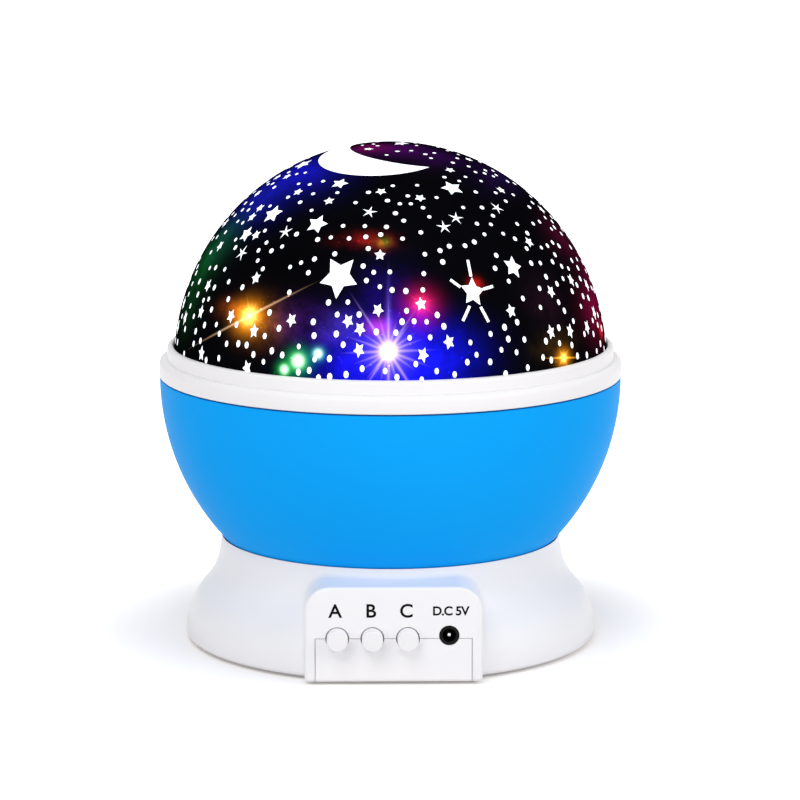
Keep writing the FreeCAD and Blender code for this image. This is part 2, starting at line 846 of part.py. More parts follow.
def gearbox():
    low = deck_low_z - gearbox_height
    case = block(-gearbox_half_width, gearbox_half_width, pinion_y - gearbox_front,
                 pinion_y + gearbox_back, low, deck_low_z)
    upright = [e for e in case.Edges if e.BoundBox.ZLength > gearbox_height - touch]
    case = case.makeFillet(gearbox_corner, upright)
    ears = block(-gearbox_half_width - gearbox_ear, gearbox_half_width + gearbox_ear,
                 pinion_y - gearbox_ear_half, pinion_y + gearbox_ear_half,
                 deck_low_z - gearbox_ear_thickness, deck_low_z)
    body = union([case, ears])
    body = body.cut(cylinder(shaft_radius + running_gap, deck_low_z - shaft_in_box,
                             deck_low_z + past, 0, pinion_y))
    for x in gearbox_screw_xs():
        body = body.cut(cylinder(small_shank + screw_play, 0, deck_low_z + past, x, pinion_y))
    return body


def drive_motor():
    z = deck_low_z - gearbox_height / 2
    y = pinion_y + motor_offset
    x0 = gearbox_half_width
    can = Part.makeCylinder(motor_radius, motor_length, Vector(x0, y, z), Vector(1, 0, 0))
    can = can.common(block(x0, x0 + motor_length, y - motor_radius, y + motor_radius,
                           z - motor_flat, z + motor_flat))
    boss = Part.makeCylinder(motor_boss_radius, motor_boss, Vector(x0 + motor_length, y, z),
                             Vector(1, 0, 0))
    return union([can, boss]).cut(ear_space())


def ear_space():
    # the motor is relieved under the gearbox's ear
    half = gearbox_ear_half + clear
    low = deck_low_z - gearbox_ear_thickness - 2 * small_head_height
    return block(0, gearbox_half_width + gearbox_ear + clear, pinion_y - half, pinion_y + half, low,
                 deck_low_z)


def gearbox_screws():
    head_low = deck_low_z - gearbox_ear_thickness - small_head_height
    return [screw_up(x, pinion_y, head_low, small_head, small_head_height, small_shank,
                     gearbox_screw_top()) for x in gearbox_screw_xs()]


def thrust_washer():
    return tube(hub_radius, spindle_radius + washer_play, deck_top_z, hub_low_z)


# Bowl and what turns with it

def bowl():
    body = ellipse_cap(bowl_radius, -bowl_drop, seam_z, seam_z)
    inner = ellipse_cap(bowl_radius - bowl_wall, -(bowl_drop - bowl_wall), seam_z, seam_z)
    body = body.cut(cylinder(bowl_radius, 0, floor_z))
    inner = inner.cut(cylinder(bowl_radius, 0, floor_top_z))
    body = body.cut(inner)
    body = body.cut(cylinder(hub_radius + hub_play, 0, floor_top_z + past))
    for x, y in plate_screw_places():
        body = body.cut(cylinder(screw_shank + screw_play, 0, floor_top_z + past, x, y))
    return body


def turntable_screws():
    screws = []
    for x, y in plate_screw_places():
        screw = screw_up(x, y, -floor_top_z - screw_head_height, screw_head, screw_head_height,
                         screw_shank, -(plate_z - plate_boss_drop + clear))
        screw.rotate(Vector(x, y, 0), Vector(1, 0, 0), 180)
        screws.append(screw)
    return screws


def rim_ring():
    k = ring_edge_round * (1 - math.sqrt(0.5))
    shoulder = ring_radius - ring_edge_round
    arc = Part.Arc(Vector(shoulder, 0, ring_top_z), Vector(ring_radius - k, 0, ring_top_z - k),
                   Vector(ring_radius, 0, ring_top_z - ring_edge_round)).toShape()
    rest = lines([(ring_radius, ring_top_z - ring_edge_round), (ring_radius, seam_z),
                  (skirt_radius, seam_z), (skirt_radius, skirt_low_z),
                  (skirt_bore - ledge_width, skirt_low_z), (skirt_bore - ledge_width, tray_z),
                  (skirt_bore, tray_z), (skirt_bore, seam_z - ring_root),
                  (ring_bore, seam_z - ring_root),
                  (ring_bore, ring_top_z), (shoulder, ring_top_z)])
    return turned([arc] + rest)


def lamp_tray():
    inner = lamp_disc_radius + tray_hole_gap
    slope = tray_radius - tray_rim_width
    low = tray_z - tray_dish
    foot = inner + tray_thickness
    outline = [(tray_radius, tray_z), (tray_radius, tray_z + tray_thickness),
               (slope, tray_z + tray_thickness), (foot, low + tray_thickness),
               (foot, low + tray_thickness + tray_collar), (inner, low + tray_thickness + tray_collar),
               (inner, low), (foot, low), (slope, tray_z)]
    return turned_points(outline)


# Lamp post and lamps

def led_post():
    collar_top = spindle_top_z + post_collar
    spigot = cylinder(spindle_bore - post_spigot_gap, spindle_top_z - post_spigot_depth,
                      spindle_top_z + weld)
    collar = cylinder(post_collar_radius, spindle_top_z, collar_top)
    upright = cylinder(post_tube_radius, collar_top - weld, lamp_board_z - weld)
    disc = cylinder(lamp_disc_radius, lamp_board_z - lamp_disc_thickness, lamp_board_z)
    body = union([spigot, collar, upright, disc])
    body = body.cut(cylinder(post_tube_bore, 0, lamp_board_z + past))
    for x, y in post_screw_places():
        body = body.cut(cylinder(small_shank + post_screw_play, 0, collar_top + past, x, y))
    return body


def post_screw_places():
    return around(post_screws_count, post_screw_ring, post_screws_turn)


def post_screws():
    screws = []
    top = spindle_top_z + post_collar
    for x, y in post_screw_places():
        head = cylinder(small_head, top, top + post_screw_head_height, x, y)
        shank = cylinder(small_shank, top - post_collar - post_screw_grip, top + touch, x, y)
        screws.append(union([head, shank]))
    return screws


def led_board():
    return cylinder(lamp_board_radius, lamp_board_z, lamp_board_z + lamp_board_thickness)


def led(x, y):
    low = lamp_board_z + lamp_board_thickness
    barrel = led_height - led_radius
    body = union([cylinder(led_flange, low, low + led_flange_height, x, y),
                  cylinder(led_radius, low, low + barrel, x, y)])
    return body.fuse(Part.makeSphere(led_radius, Vector(x, y, low + barrel))).removeSplitter()


def led_lead():
    z = bay_top_z + (deck_low_z - bay_top_z) / 2
    start = Vector(0, -board_back, z)
    turn_in = Vector(0, -lead_bend, z)
    turn_out = Vector(0, 0, z + lead_bend)
    k = math.sqrt(0.5)
    middle = Vector(0, lead_bend * (k - 1), z + lead_bend * (1 - k))
    top = Vector(0, 0, lamp_board_z)
    path = Part.Wire([Part.LineSegment(start, turn_in).toShape(),
                      Part.Arc(turn_in, middle, turn_out).toShape(),
                      Part.LineSegment(turn_out, top).toShape()])
    ring = Part.Wire(Part.makeCircle(lead_radius, start, Vector(0, 1, 0)))
    return path.makePipeShell([ring], True, False)


# Dome

def dome_ring():
    bore = ellipse_radius(dome_radius, dome_rise, dome_centre_z, dome_seat_z) + dome_side_gap
    outer = ring_bore - dome_ring_lift_gap
    inner = outer - spigot_wall
    top = dome_ring_top_z
    k = dome_ring_round * (1 - math.sqrt(0.5))
    shoulder = dome_ring_radius - dome_ring_round
    arc = Part.Arc(Vector(shoulder, 0, top), Vector(dome_ring_radius - k, 0, top - k),
                   Vector(dome_ring_radius, 0, top - dome_ring_round)).toShape()
    rest = lines([(dome_ring_radius, top - dome_ring_round), (dome_ring_radius, ring_top_z),
                  (outer, ring_top_z), (outer, ring_top_z - spigot_depth),
                  (inner, ring_top_z - spigot_depth), (inner, dome_seat_z), (bore, dome_seat_z),
                  (bore, top), (shoulder, top)])
    return turned([arc] + rest)


def dome_skin(inset, thickness):
    # one closed outline between two ellipses, turned about the axis
    edges, tips, rims = [], [], []
    for depth in (inset, inset + thickness):
        across, up = dome_radius - depth, dome_rise - depth
        tip = dome_centre_z + up
        edges.append(ellipse_edge(across, up, dome_centre_z, dome_seat_z, tip))
        tips.append((0, tip))
        rims.append((ellipse_radius(across, up, dome_centre_z, dome_seat_z), dome_seat_z))
    return turned(edges + lines(tips) + lines(rims))


def dome_shell():
    return dome_skin(mask_thickness + mask_gap, dome_wall)


def star_cutter(turn, height, radius, spin):
    # a five-pointed prism that stands square on the dome
    a, h = math.radians(turn), math.radians(height)
    out = Vector(math.sin(a) * math.cos(h), -math.cos(a) * math.cos(h), math.sin(h))
    right = Vector(math.cos(a), math.sin(a), 0)
    up = out.cross(right)
    reach = 1.0 / math.sqrt((math.cos(h) / dome_radius) ** 2 + (math.sin(h) / dome_rise) ** 2)
    middle = Vector(0, 0, dome_centre_z) + out * (reach - star_depth)
    stretch = stretch_at_foot - stretch_loss * height
    corners = []
    for i in range(10):
        r = radius if i % 2 == 0 else radius * star_waist
        angle = math.radians(spin + 36.0 * i)
        corners.append(middle + right * (r * math.sin(angle)) + up * (r * stretch * math.cos(angle)))
    face = Part.Face(Part.makePolygon(corners + corners[:1]))
    return face.extrude(out * 2 * star_depth)


def moon_cutter():
    low, high = dome_centre_z + dome_rise / 2, dome_centre_z + dome_rise + past
    x, y, radius = moon_disc
    disc = cylinder(radius, low, high, x, y)
    x, y, radius = moon_bite
    return disc.cut(cylinder(radius, low, high, x, y))


def star_mask():
    windows = [moon_cutter()] + [star_cutter(*place) for place in stars.values()]
    return dome_skin(0.0, mask_thickness).cut(windows)


def as_group(solids):
    return Part.makeCompound(solids)


def all_nodes():
    nodes = {
        "base_housing": base_housing(),
        "bottom_cover": bottom_cover(),
        "housing_screws": as_group(housing_screws()),
        "rubber_feet": as_group(rubber_feet()),
        "battery_door": battery_door(),
        "battery_door_screw": as_group(battery_door_screw()),
        "aaa_cells": as_group(aaa_cells()),
        "battery_contacts": as_group(battery_contacts()),
        "control_board": control_board(),
        "board_screws": as_group(board_screws()),
        "tact_switches": as_group(tact_switches()),
        "dc_jack": dc_jack(),
        "gearbox": gearbox(),
        "gearbox_screws": as_group(gearbox_screws()),
        "drive_motor": drive_motor(),
        "drive_shaft": drive_shaft(),
        "drive_pinion": drive_pinion(),
        "thrust_washer": thrust_washer(),
        "turntable": turntable(),
        "turntable_screws": as_group(turntable_screws()),
        "bowl": bowl(),
        "rim_ring": rim_ring(),
        "lamp_tray": lamp_tray(),
        "led_post": led_post(),
        "post_screws": as_group(post_screws()),
        "led_board": led_board(),
        "led_lead": led_lead(),
        "dome_ring": dome_ring(),
        "dome_shell": dome_shell(),
        "star_mask": star_mask(),
    }
    for letter, x in button_xs.items():
        nodes["button_" + letter] = button_cap(x)
        nodes["plunger_" + letter] = switch_plunger(x)
    colours = ["white", "blue", "green", "red"]
    for colour, (x, y) in zip(colours, around(4, led_ring, 45)):
        nodes["led_" + colour] = led(x, y)
    return nodes


def main():
    os.makedirs("parts", exist_ok=True)
    for name, shape in all_nodes().items():
        solids = len(shape.Solids)
        print(name, "solids", solids, "volume", round(shape.Volume, 1), "valid", shape.isValid())
        shape.exportStep(os.path.join("parts", name + ".step"))


main()
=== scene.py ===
import bpy
import math
import random
from mathutils import Matrix, Vector


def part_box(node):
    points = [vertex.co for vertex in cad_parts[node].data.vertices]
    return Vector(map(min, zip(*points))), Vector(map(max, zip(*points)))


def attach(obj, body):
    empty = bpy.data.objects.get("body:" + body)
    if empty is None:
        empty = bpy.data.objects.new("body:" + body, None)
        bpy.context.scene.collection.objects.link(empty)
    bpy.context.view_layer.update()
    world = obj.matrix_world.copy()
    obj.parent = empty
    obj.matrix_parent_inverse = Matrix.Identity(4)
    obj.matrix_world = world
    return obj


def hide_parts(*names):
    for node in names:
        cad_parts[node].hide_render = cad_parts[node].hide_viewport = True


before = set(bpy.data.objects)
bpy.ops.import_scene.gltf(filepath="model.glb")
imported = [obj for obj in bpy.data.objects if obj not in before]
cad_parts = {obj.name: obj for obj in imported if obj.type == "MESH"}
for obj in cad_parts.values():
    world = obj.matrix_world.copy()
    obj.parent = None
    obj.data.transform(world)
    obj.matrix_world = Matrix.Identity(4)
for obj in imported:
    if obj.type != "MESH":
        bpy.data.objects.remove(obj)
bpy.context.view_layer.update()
mm = 0.001
print("frame loaded:", len(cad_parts), "nodes")


# Camera, read from the photograph: distance, height, aim and lens
camera = {
    "distance": 0.950,
    "height": 0.24065,
    "aimHeight": 0.06475,
    "turnLeft": math.radians(0.82),
    "aimRight": 0.0026,
    "focalPixels": 3560.0,
    "frameWidth": 800.0,
    "sensor": 36.0,
}

# The dome's outer surface: an ellipsoid about the vertical axis
dome = {"radius": 58.53 * mm, "rise": 60.10 * mm, "centreHeight": 74.78 * mm}


def deselectAll():
    if bpy.context.object and bpy.context.object.mode != "OBJECT":
        bpy.ops.object.mode_set(mode="OBJECT")
    bpy.ops.object.select_all(action="DESELECT")


def makeActive(piece):
    deselectAll()
    piece.select_set(True)
    bpy.context.view_layer.objects.active = piece


def applyAll(piece):
    makeActive(piece)
    bpy.ops.object.transform_apply(location=True, rotation=True, scale=True)


def applyModifier(piece, kind, **values):
    makeActive(piece)
    mod = piece.modifiers.new(kind.title(), kind)
    for key, value in values.items():
        setattr(mod, key, value)
    bpy.ops.object.modifier_apply(modifier=mod.name)


def smoothByAngle(piece, degrees=32.0):
    makeActive(piece)
    bpy.ops.object.shade_smooth_by_angle(angle=math.radians(degrees))


def tidyMesh(piece, distance=0.005 * mm):
    makeActive(piece)
    bpy.ops.object.mode_set(mode="EDIT")
    bpy.ops.mesh.select_all(action="SELECT")
    bpy.ops.mesh.remove_doubles(threshold=distance)
    bpy.ops.mesh.normals_make_consistent(inside=False)
    bpy.ops.object.mode_set(mode="OBJECT")


def dress(piece, name, body, material, replaced=()):
    piece.name = name
    piece.data.name = name
    piece.data.materials.clear()
    piece.data.materials.append(material)
    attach(piece, body)
    if replaced:
        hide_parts(*replaced)
    return piece


# Materials: each starts from a principled shader whose plain numbers sit on its own sockets

def newMaterial(name, roughness=0.4, specular=0.5, metallic=0.0):
    mat = bpy.data.materials.new(name)
    mat.use_nodes = True
    nodes = mat.node_tree.nodes
    links = mat.node_tree.links
    shader = nodes["Principled BSDF"]
    shader.inputs["Roughness"].default_value = roughness
    shader.inputs["Specular IOR Level"].default_value = specular
    shader.inputs["Metallic"].default_value = metallic
    return mat, nodes, links, shader


def objectCoords(nodes):
    return nodes.new("ShaderNodeTexCoord").outputs["Object"]


def noise(nodes, links, scale, detail=3.0, roughness=0.5, coords=None):
    tex = nodes.new("ShaderNodeTexNoise")
    tex.inputs["Scale"].default_value = scale
    tex.inputs["Detail"].default_value = detail
    tex.inputs["Roughness"].default_value = roughness
    links.new(coords or objectCoords(nodes), tex.inputs["Vector"])
    return tex.outputs["Fac"]


def mathNode(nodes, links, operation, a, b=None, c=None, clamp=False):
    node = nodes.new("ShaderNodeMath")
    node.operation = operation
    node.use_clamp = clamp
    for i, value in enumerate((a, b, c)):
        if value is None:
            continue
        if isinstance(value, (int, float)):
            node.inputs[i].default_value = value
        else:
            links.new(value, node.inputs[i])
    return node.outputs[0]


def mixColours(nodes, links, fac, first, second, blend="MIX"):
    node = nodes.new("ShaderNodeMix")
    node.data_type = "RGBA"
    node.blend_type = blend
    for socket, value in ((node.inputs[0], fac), (node.inputs[6], first), (node.inputs[7], second)):
        if isinstance(value, (int, float)):
            socket.default_value = value
        elif isinstance(value, tuple):
            socket.default_value = (*value, 1.0) if len(value) == 3 else value
        else:
            links.new(value, socket)
    return node.outputs[2]


def addBump(nodes, links, shader, height, strength, distance):
    bump = nodes.new("ShaderNodeBump")
    bump.inputs["Strength"].default_value = strength
    bump.inputs["Distance"].default_value = distance
    links.new(height, bump.inputs["Height"])
    links.new(bump.outputs["Normal"], shader.inputs["Normal"])


def mouldedPlastic(name, colour, shade, roughness, grain=0.05, specular=0.35):
    # moulded plastic: a very slow drift of tone, fine mould grain and uneven gloss
    mat, nodes, links, shader = newMaterial(name, roughness, specular)
    drift = noise(nodes, links, 22.0, 4.0, 0.6)
    links.new(mixColours(nodes, links, drift, shade, colour), shader.inputs["Base Color"])
    patches = noise(nodes, links, 60.0, 5.0, 0.6)
    gloss = mathNode(nodes, links, "MULTIPLY_ADD", patches, 0.10, roughness - 0.05)
    links.new(gloss, shader.inputs["Roughness"])
    fine = noise(nodes, links, 2600.0, 2.0, 0.5)
    addBump(nodes, links, shader, fine, grain, 0.00002)
    return mat


def metal(name, colour, roughness):
    mat, nodes, links, shader = newMaterial(name, roughness, 0.5, metallic=1.0)
    streaks = noise(nodes, links, 900.0, 4.0, 0.65)
    dark = tuple(c * 0.82 for c in colour)
    links.new(mixColours(nodes, links, streaks, dark, colour), shader.inputs["Base Color"])
    links.new(mathNode(nodes, links, "MULTIPLY_ADD", streaks, 0.2, roughness - 0.1),
              shader.inputs["Roughness"])
    addBump(nodes, links, shader, streaks, 0.08, 0.00002)
    return mat


def boardMaterial():
    # solder mask over copper tracks
    mat, nodes, links, shader = newMaterial("solderMask", 0.35)
    coords = objectCoords(nodes)
    brick = nodes.new("ShaderNodeTexBrick")
    brick.inputs["Scale"].default_value = 260.0
    brick.inputs["Mortar Size"].default_value = 0.03
    brick.inputs["Color1"].default_value = (0.02, 0.20, 0.08, 1)
    brick.inputs["Color2"].default_value = (0.03, 0.24, 0.10, 1)
    brick.inputs["Mortar"].default_value = (0.05, 0.33, 0.14, 1)
    links.new(coords, brick.inputs["Vector"])
    links.new(brick.outputs["Color"], shader.inputs["Base Color"])
    addBump(nodes, links, shader, brick.outputs["Fac"], 0.2, 0.00003)
    return mat


def lensMaterial(name, colour, glow):
    mat, nodes, links, shader = newMaterial(name, 0.08, 0.5)
    shader.inputs["Transmission Weight"].default_value = 0.55
    shader.inputs["Emission Strength"].default_value = glow
    haze = noise(nodes, links, 700.0, 2.0)
    pale = tuple(min(1.0, c * 1.1 + 0.05) for c in colour)
    tone = mixColours(nodes, links, haze, colour, pale)
    links.new(tone, shader.inputs["Base Color"])
    links.new(tone, shader.inputs["Emission Color"])
    return mat


def cellMaterial():
    # plain two-tone jacket: a dark green sleeve with a gold band at one end
    mat, nodes, links, shader = newMaterial("cellJacket", 0.28, 0.6)
    split = nodes.new("ShaderNodeSeparateXYZ")
    links.new(objectCoords(nodes), split.inputs[0])
    band = mathNode(nodes, links, "GREATER_THAN", mathNode(nodes, links, "ABSOLUTE", split.outputs[0]),
                    0.0125)
    links.new(mixColours(nodes, links, band, (0.02, 0.09, 0.05), (0.62, 0.42, 0.12)),
              shader.inputs["Base Color"])
    addBump(nodes, links, shader, noise(nodes, links, 400.0), 0.1, 0.00003)
    return mat


def frostedMaterial(name, glow, tint=(0.96, 0.97, 1.0)):
    # frosted plastic whose emission is a painted glow of the lamps' light shining through it
    mat, nodes, links, shader = newMaterial(name, 0.5, 0.4)
    shader.inputs["Emission Strength"].default_value = glow
    shader.inputs["Subsurface Weight"].default_value = 0.25
    shader.inputs["Subsurface Scale"].default_value = 0.004
    frost = noise(nodes, links, 120.0, 4.0)
    darker = tuple(c * 0.93 for c in tint)
    tone = mixColours(nodes, links, frost, darker, tint)
    links.new(tone, shader.inputs["Base Color"])
    links.new(tone, shader.inputs["Emission Color"])
    addBump(nodes, links, shader, noise(nodes, links, 2400.0), 0.1, 0.00002)
    return mat


# Where a pixel of the photograph meets the dome

def cameraBase():
    turn = camera["turnLeft"]
    place = Vector((-camera["distance"] * math.sin(turn), -camera["distance"] * math.cos(turn),
                    camera["height"]))
    aim = Vector((camera["aimRight"], 0.0, camera["aimHeight"]))
    forward = (aim - place).normalized()
    right = forward.cross(Vector((0, 0, 1))).normalized()
    return place, forward, right, right.cross(forward)


def domeFromPixel(x, y):
    place, forward, right, up = cameraBase()
    half = camera["frameWidth"] / 2
    ray = forward + right * ((x - half) / camera["focalPixels"])
    ray = (ray + up * ((half - y) / camera["focalPixels"])).normalized()
    squeeze = Vector((1 / dome["radius"], 1 / dome["radius"], 1 / dome["rise"]))
    start = (place - Vector((0, 0, dome["centreHeight"]))) * squeeze
    way = ray * squeeze
    a, b, c = way.dot(way), start.dot(way), start.dot(start) - 1.0
    reach = (-b - math.sqrt(max(b * b - a * c, 0.0))) / a
    return place + ray * reach


def ontoDome(point, lift):
    centre = Vector((0, 0, dome["centreHeight"]))
    way = (point - centre).normalized()
    flat = math.hypot(way.x, way.y) / dome["radius"]
    reach = 1.0 / math.sqrt(flat ** 2 + (way.z / dome["rise"]) ** 2)
    return centre + way * (reach + lift)


def domeFromAngles(turn, height):
    a, h = math.radians(turn), math.radians(height)
    way = Vector((math.sin(a) * math.cos(h), -math.cos(a) * math.cos(h), math.sin(h)))
    return ontoDome(Vector((0, 0, dome["centreHeight"])) + way * 0.01, 0.0)


def domeAxes(point):
    # outwards, to the right and upwards on the dome's surface
    out = (point - Vector((0, 0, dome["centreHeight"]))).normalized()
    right = Vector((0, 0, 1)).cross(out)
    right = right.normalized() if right.length > 1e-4 else Vector((1, 0, 0))
    return out, right, out.cross(right)


# Painted glow of the lamps on the film: soft blotches, each by its place in the photograph and its size in
# millimetres across and upwards; the colour is what the middle shows

glows = [
    {"at": (238.0, 310.0), "size": (7.0, 2.6), "colour": (0.50, 0.10, 0.006), "cloud": 0.7},
    {"at": (262.0, 322.0), "size": (8.0, 5.5), "colour": (0.26, 0.07, 0.004), "cloud": 0.9},
    {"at": (248.0, 317.0), "size": (5.0, 4.3), "colour": (1.8, 0.56, 0.008), "cloud": 0.3},
    {"at": (249.0, 316.0), "size": (2.3, 2.2), "colour": (3.2, 2.3, 0.45)},
    {"at": (298.0, 361.0), "size": (3.2, 3.0), "colour": (0.004, 0.80, 0.12)},
    {"at": (298.0, 361.0), "size": (1.5, 1.5), "colour": (2.6, 3.4, 2.6)},
    {"at": (318.0, 353.7), "size": (1.9, 1.8), "colour": (0.01, 0.45, 0.24)},
    {"at": (318.0, 353.7), "size": (1.1, 1.1), "colour": (1.8, 2.8, 2.4)},
    {"at": (284.3, 369.4), "size": (2.3, 2.0), "colour": (0.004, 0.55, 0.08)},
    {"at": (284.3, 369.4), "size": (1.1, 1.1), "colour": (1.6, 2.8, 1.8)},
    {"at": (376.0, 366.0), "size": (14.0, 8.5), "colour": (0.012, 0.010, 1.55), "cloud": 0.45},
    {"at": (428.0, 358.0), "size": (13.0, 8.5), "colour": (0.006, 0.010, 1.20), "cloud": 0.45},
    {"at": (388.0, 325.0), "size": (9.0, 12.0), "colour": (0.020, 0.003, 0.34), "cloud": 0.8},
    {"at": (388.4, 351.4), "size": (5.2, 5.2), "colour": (0.24, 0.16, 0.95)},
    {"at": (388.4, 351.4), "size": (1.9, 1.9), "colour": (3.4, 2.8, 3.4)},
    {"at": (379.0, 327.0), "size": (3.4, 2.4), "colour": (0.50, 0.03, 0.42)},
    {"at": (345.0, 330.0), "size": (6.5, 4.5), "colour": (0.05, 0.03, 0.50), "cloud": 0.7},
    {"at": (316.0, 327.0), "size": (9.0, 6.0), "colour": (0.030, 0.004, 0.15), "cloud": 0.9},
    {"at": (291.0, 318.0), "size": (6.0, 5.0), "colour": (0.030, 0.003, 0.07), "cloud": 0.7},
    {"at": (421.0, 304.0), "size": (4.6, 4.4), "colour": (0.62, 0.004, 0.07)},
    {"at": (421.0, 304.0), "size": (2.2, 2.2), "colour": (0.9, 0.05, 0.12)},
    {"at": (421.0, 318.0), "size": (4.0, 4.0), "colour": (0.12, 0.002, 0.30)},
    {"at": (475.5, 284.0), "size": (2.0, 1.8), "colour": (0.60, 0.010, 0.006)},
    {"at": (364.0, 239.0), "size": (7.0, 2.4), "colour": (0.26, 0.006, 0.006), "cloud": 1.0},
    {"at": (380.0, 242.0), "size": (3.0, 2.4), "colour": (0.60, 0.05, 0.010), "cloud": 1.0},
    {"at": (384.0, 242.0), "size": (1.6, 1.4), "colour": (0.35, 0.32, 0.02), "cloud": 0.6},
    {"at": (563.7, 357.8), "size": (3.0, 2.4), "colour": (1.1, 0.36, 0.006)},
    {"at": (563.7, 357.8), "size": (1.2, 1.2), "colour": (2.2, 1.5, 0.3)},
    {"at": (555.0, 345.0), "size": (8.0, 4.0), "colour": (0.045, 0.022, 0.002), "cloud": 0.8},
    {"at": (601.0, 330.0), "size": (2.4, 2.2), "colour": (0.75, 0.012, 0.02)},
    {"at": (305.0, 172.0), "size": (13.0, 9.0), "colour": (0.006, 0.006, 0.46), "cloud": 0.25},
    {"at": (262.0, 197.0), "size": (12.0, 9.0), "colour": (0.006, 0.008, 0.34), "cloud": 0.35},
    {"at": (225.0, 238.0), "size": (8.0, 8.0), "colour": (0.004, 0.050, 0.030), "cloud": 0.4},
    {"at": (205.0, 262.0), "size": (9.0, 8.0), "colour": (0.002, 0.070, 0.012), "cloud": 0.4},
    {"at": (189.0, 306.0), "size": (8.0, 8.0), "colour": (0.002, 0.028, 0.005), "cloud": 0.5},
    {"at": (588.0, 272.0), "size": (12.0, 9.0), "colour": (0.16, 0.001, 0.040), "cloud": 0.3},
    {"at": (594.0, 310.0), "size": (10.0, 8.0), "colour": (0.17, 0.001, 0.030), "cloud": 0.3},
    {"at": (560.0, 236.0), "size": (9.0, 7.0), "colour": (0.06, 0.001, 0.016), "cloud": 0.5},
    {"at": (545.0, 300.0), "size": (8.0, 8.0), "colour": (0.014, 0.003, 0.010), "cloud": 0.6},
    {"at": (498.0, 176.0), "size": (14.0, 7.0), "colour": (0.012, 0.002, 0.045), "cloud": 0.5},
    {"at": (369.0, 148.0), "size": (6.0, 5.0), "colour": (0.14, 0.001, 0.075), "cloud": 0.3},
    {"at": (402.0, 149.0), "size": (9.0, 7.0), "colour": (0.050, 0.001, 0.085), "cloud": 0.4},
    {"at": (440.0, 158.0), "size": (9.0, 6.0), "colour": (0.022, 0.001, 0.050), "cloud": 0.5},
]

# Long thin painted flares of light: place, direction from level in degrees, then length and width each way
flares = [
    {"at": (250.0, 315.6), "angle": 26.0, "size": (21.0, 0.70), "colour": (1.1, 0.66, 0.34)},
    {"at": (250.0, 315.6), "angle": 100.0, "size": (6.0, 0.55), "colour": (1.1, 0.6, 0.10)},
    {"at": (250.0, 315.6), "angle": 150.0, "size": (5.5, 0.55), "colour": (1.0, 0.5, 0.08)},
    {"at": (250.0, 315.6), "angle": 62.0, "size": (4.5, 0.50), "colour": (1.0, 0.5, 0.08)},
    {"at": (563.7, 357.8), "angle": 2.0, "size": (6.5, 0.60), "colour": (1.5, 0.75, 0.05)},
    {"at": (563.7, 357.8), "angle": 60.0, "size": (3.4, 0.50), "colour": (1.3, 0.65, 0.04)},
    {"at": (563.7, 357.8), "angle": 118.0, "size": (3.4, 0.50), "colour": (1.3, 0.65, 0.04)},
    {"at": (421.0, 304.0), "angle": 140.0, "size": (6.0, 0.50), "colour": (0.7, 0.02, 0.06)},
    {"at": (421.0, 304.0), "angle": 20.0, "size": (5.0, 0.50), "colour": (0.8, 0.02, 0.06)},
    {"at": (421.0, 304.0), "angle": 75.0, "size": (5.0, 0.50), "colour": (0.8, 0.02, 0.06)},
    {"at": (388.4, 351.4), "angle": 90.0, "size": (25.0, 2.2), "colour": (0.16, 0.09, 0.75)},
]

# The great burst's painted rays of light: angle from level and length in millimetres
burst = {"at": (388.4, 351.4), "width": 0.95, "colour": (0.75, 0.50, 1.0),
         "rays": [(90, 15.0), (123, 19.0), (57, 14.0), (52, 10.0), (2, 13.0), (20, 10.0), (160, 12.0),
                  (145, 9.0), (35, 9.0), (75, 9.0), (105, 10.0)]}
flares += [{"at": burst["at"], "angle": angle, "size": (length, burst["width"]),
            "colour": burst["colour"]} for angle, length in burst["rays"]]


def placeOnDome(nodes, links, coords, spot, sizes):
    # object coordinates turned to the spot's own: along it, across it and outwards, by its sizes
    middle = domeFromPixel(*spot["at"])
    out, right, up = domeAxes(middle)
    if "angle" in spot:
        # a flare runs straight as the photograph shows it
        forward, right, up = cameraBase()[1:]
        out = -forward
    a = math.radians(spot.get("angle", 0.0))
    along = right * math.cos(a) + up * math.sin(a)
    across = up * math.cos(a) - right * math.sin(a)
    place = nodes.new("ShaderNodeMapping")
    place.vector_type = "TEXTURE"
    place.inputs["Location"].default_value = middle
    place.inputs["Rotation"].default_value = Matrix((along, across, out)).transposed().to_euler()
    place.inputs["Scale"].default_value = [size * mm for size in sizes]
    links.new(coords, place.inputs["Vector"])
    return place.outputs["Vector"]


def spotNodes(nodes, links, coords, spot):
    # brightness that falls off with the distance from the spot
    across, upwards = spot["size"]
    place = placeOnDome(nodes, links, coords, spot, (across, upwards, max(across, upwards)))
    gap = nodes.new("ShaderNodeVectorMath")
    gap.operation = "LENGTH"
    links.new(place, gap.inputs[0])
    share = gap.outputs["Value"]
    fall = mathNode(nodes, links, "MULTIPLY", mathNode(nodes, links, "MULTIPLY", share, share), -1.4)
    return mathNode(nodes, links, "EXPONENT", fall)


def flareNodes(nodes, links, coords, flare):
    # a thin streak that crosses its place at an angle and fades to both ends
    length, width = flare["size"]
    place = placeOnDome(nodes, links, coords, flare, (length, width, length))
    parts = nodes.new("ShaderNodeSeparateXYZ")
    links.new(place, parts.inputs[0])
    taper = mathNode(nodes, links, "SUBTRACT", 1.0,
                     mathNode(nodes, links, "ABSOLUTE", parts.outputs[0]), clamp=True)
    narrow = mathNode(nodes, links, "MULTIPLY_ADD", taper, 0.8, 0.2)
    thin = mathNode(nodes, links, "DIVIDE", parts.outputs[1], narrow)
    squared = mathNode(nodes, links, "MULTIPLY", thin, thin)
    fall = mathNode(nodes, links, "EXPONENT", mathNode(nodes, links, "MULTIPLY", squared, -4.0))
    near = mathNode(nodes, links, "GREATER_THAN", parts.outputs[2], -1.0)
    shaped = mathNode(nodes, links, "MULTIPLY", fall, mathNode(nodes, links, "POWER", taper, 1.6))
    return mathNode(nodes, links, "MULTIPLY", shaped, near)


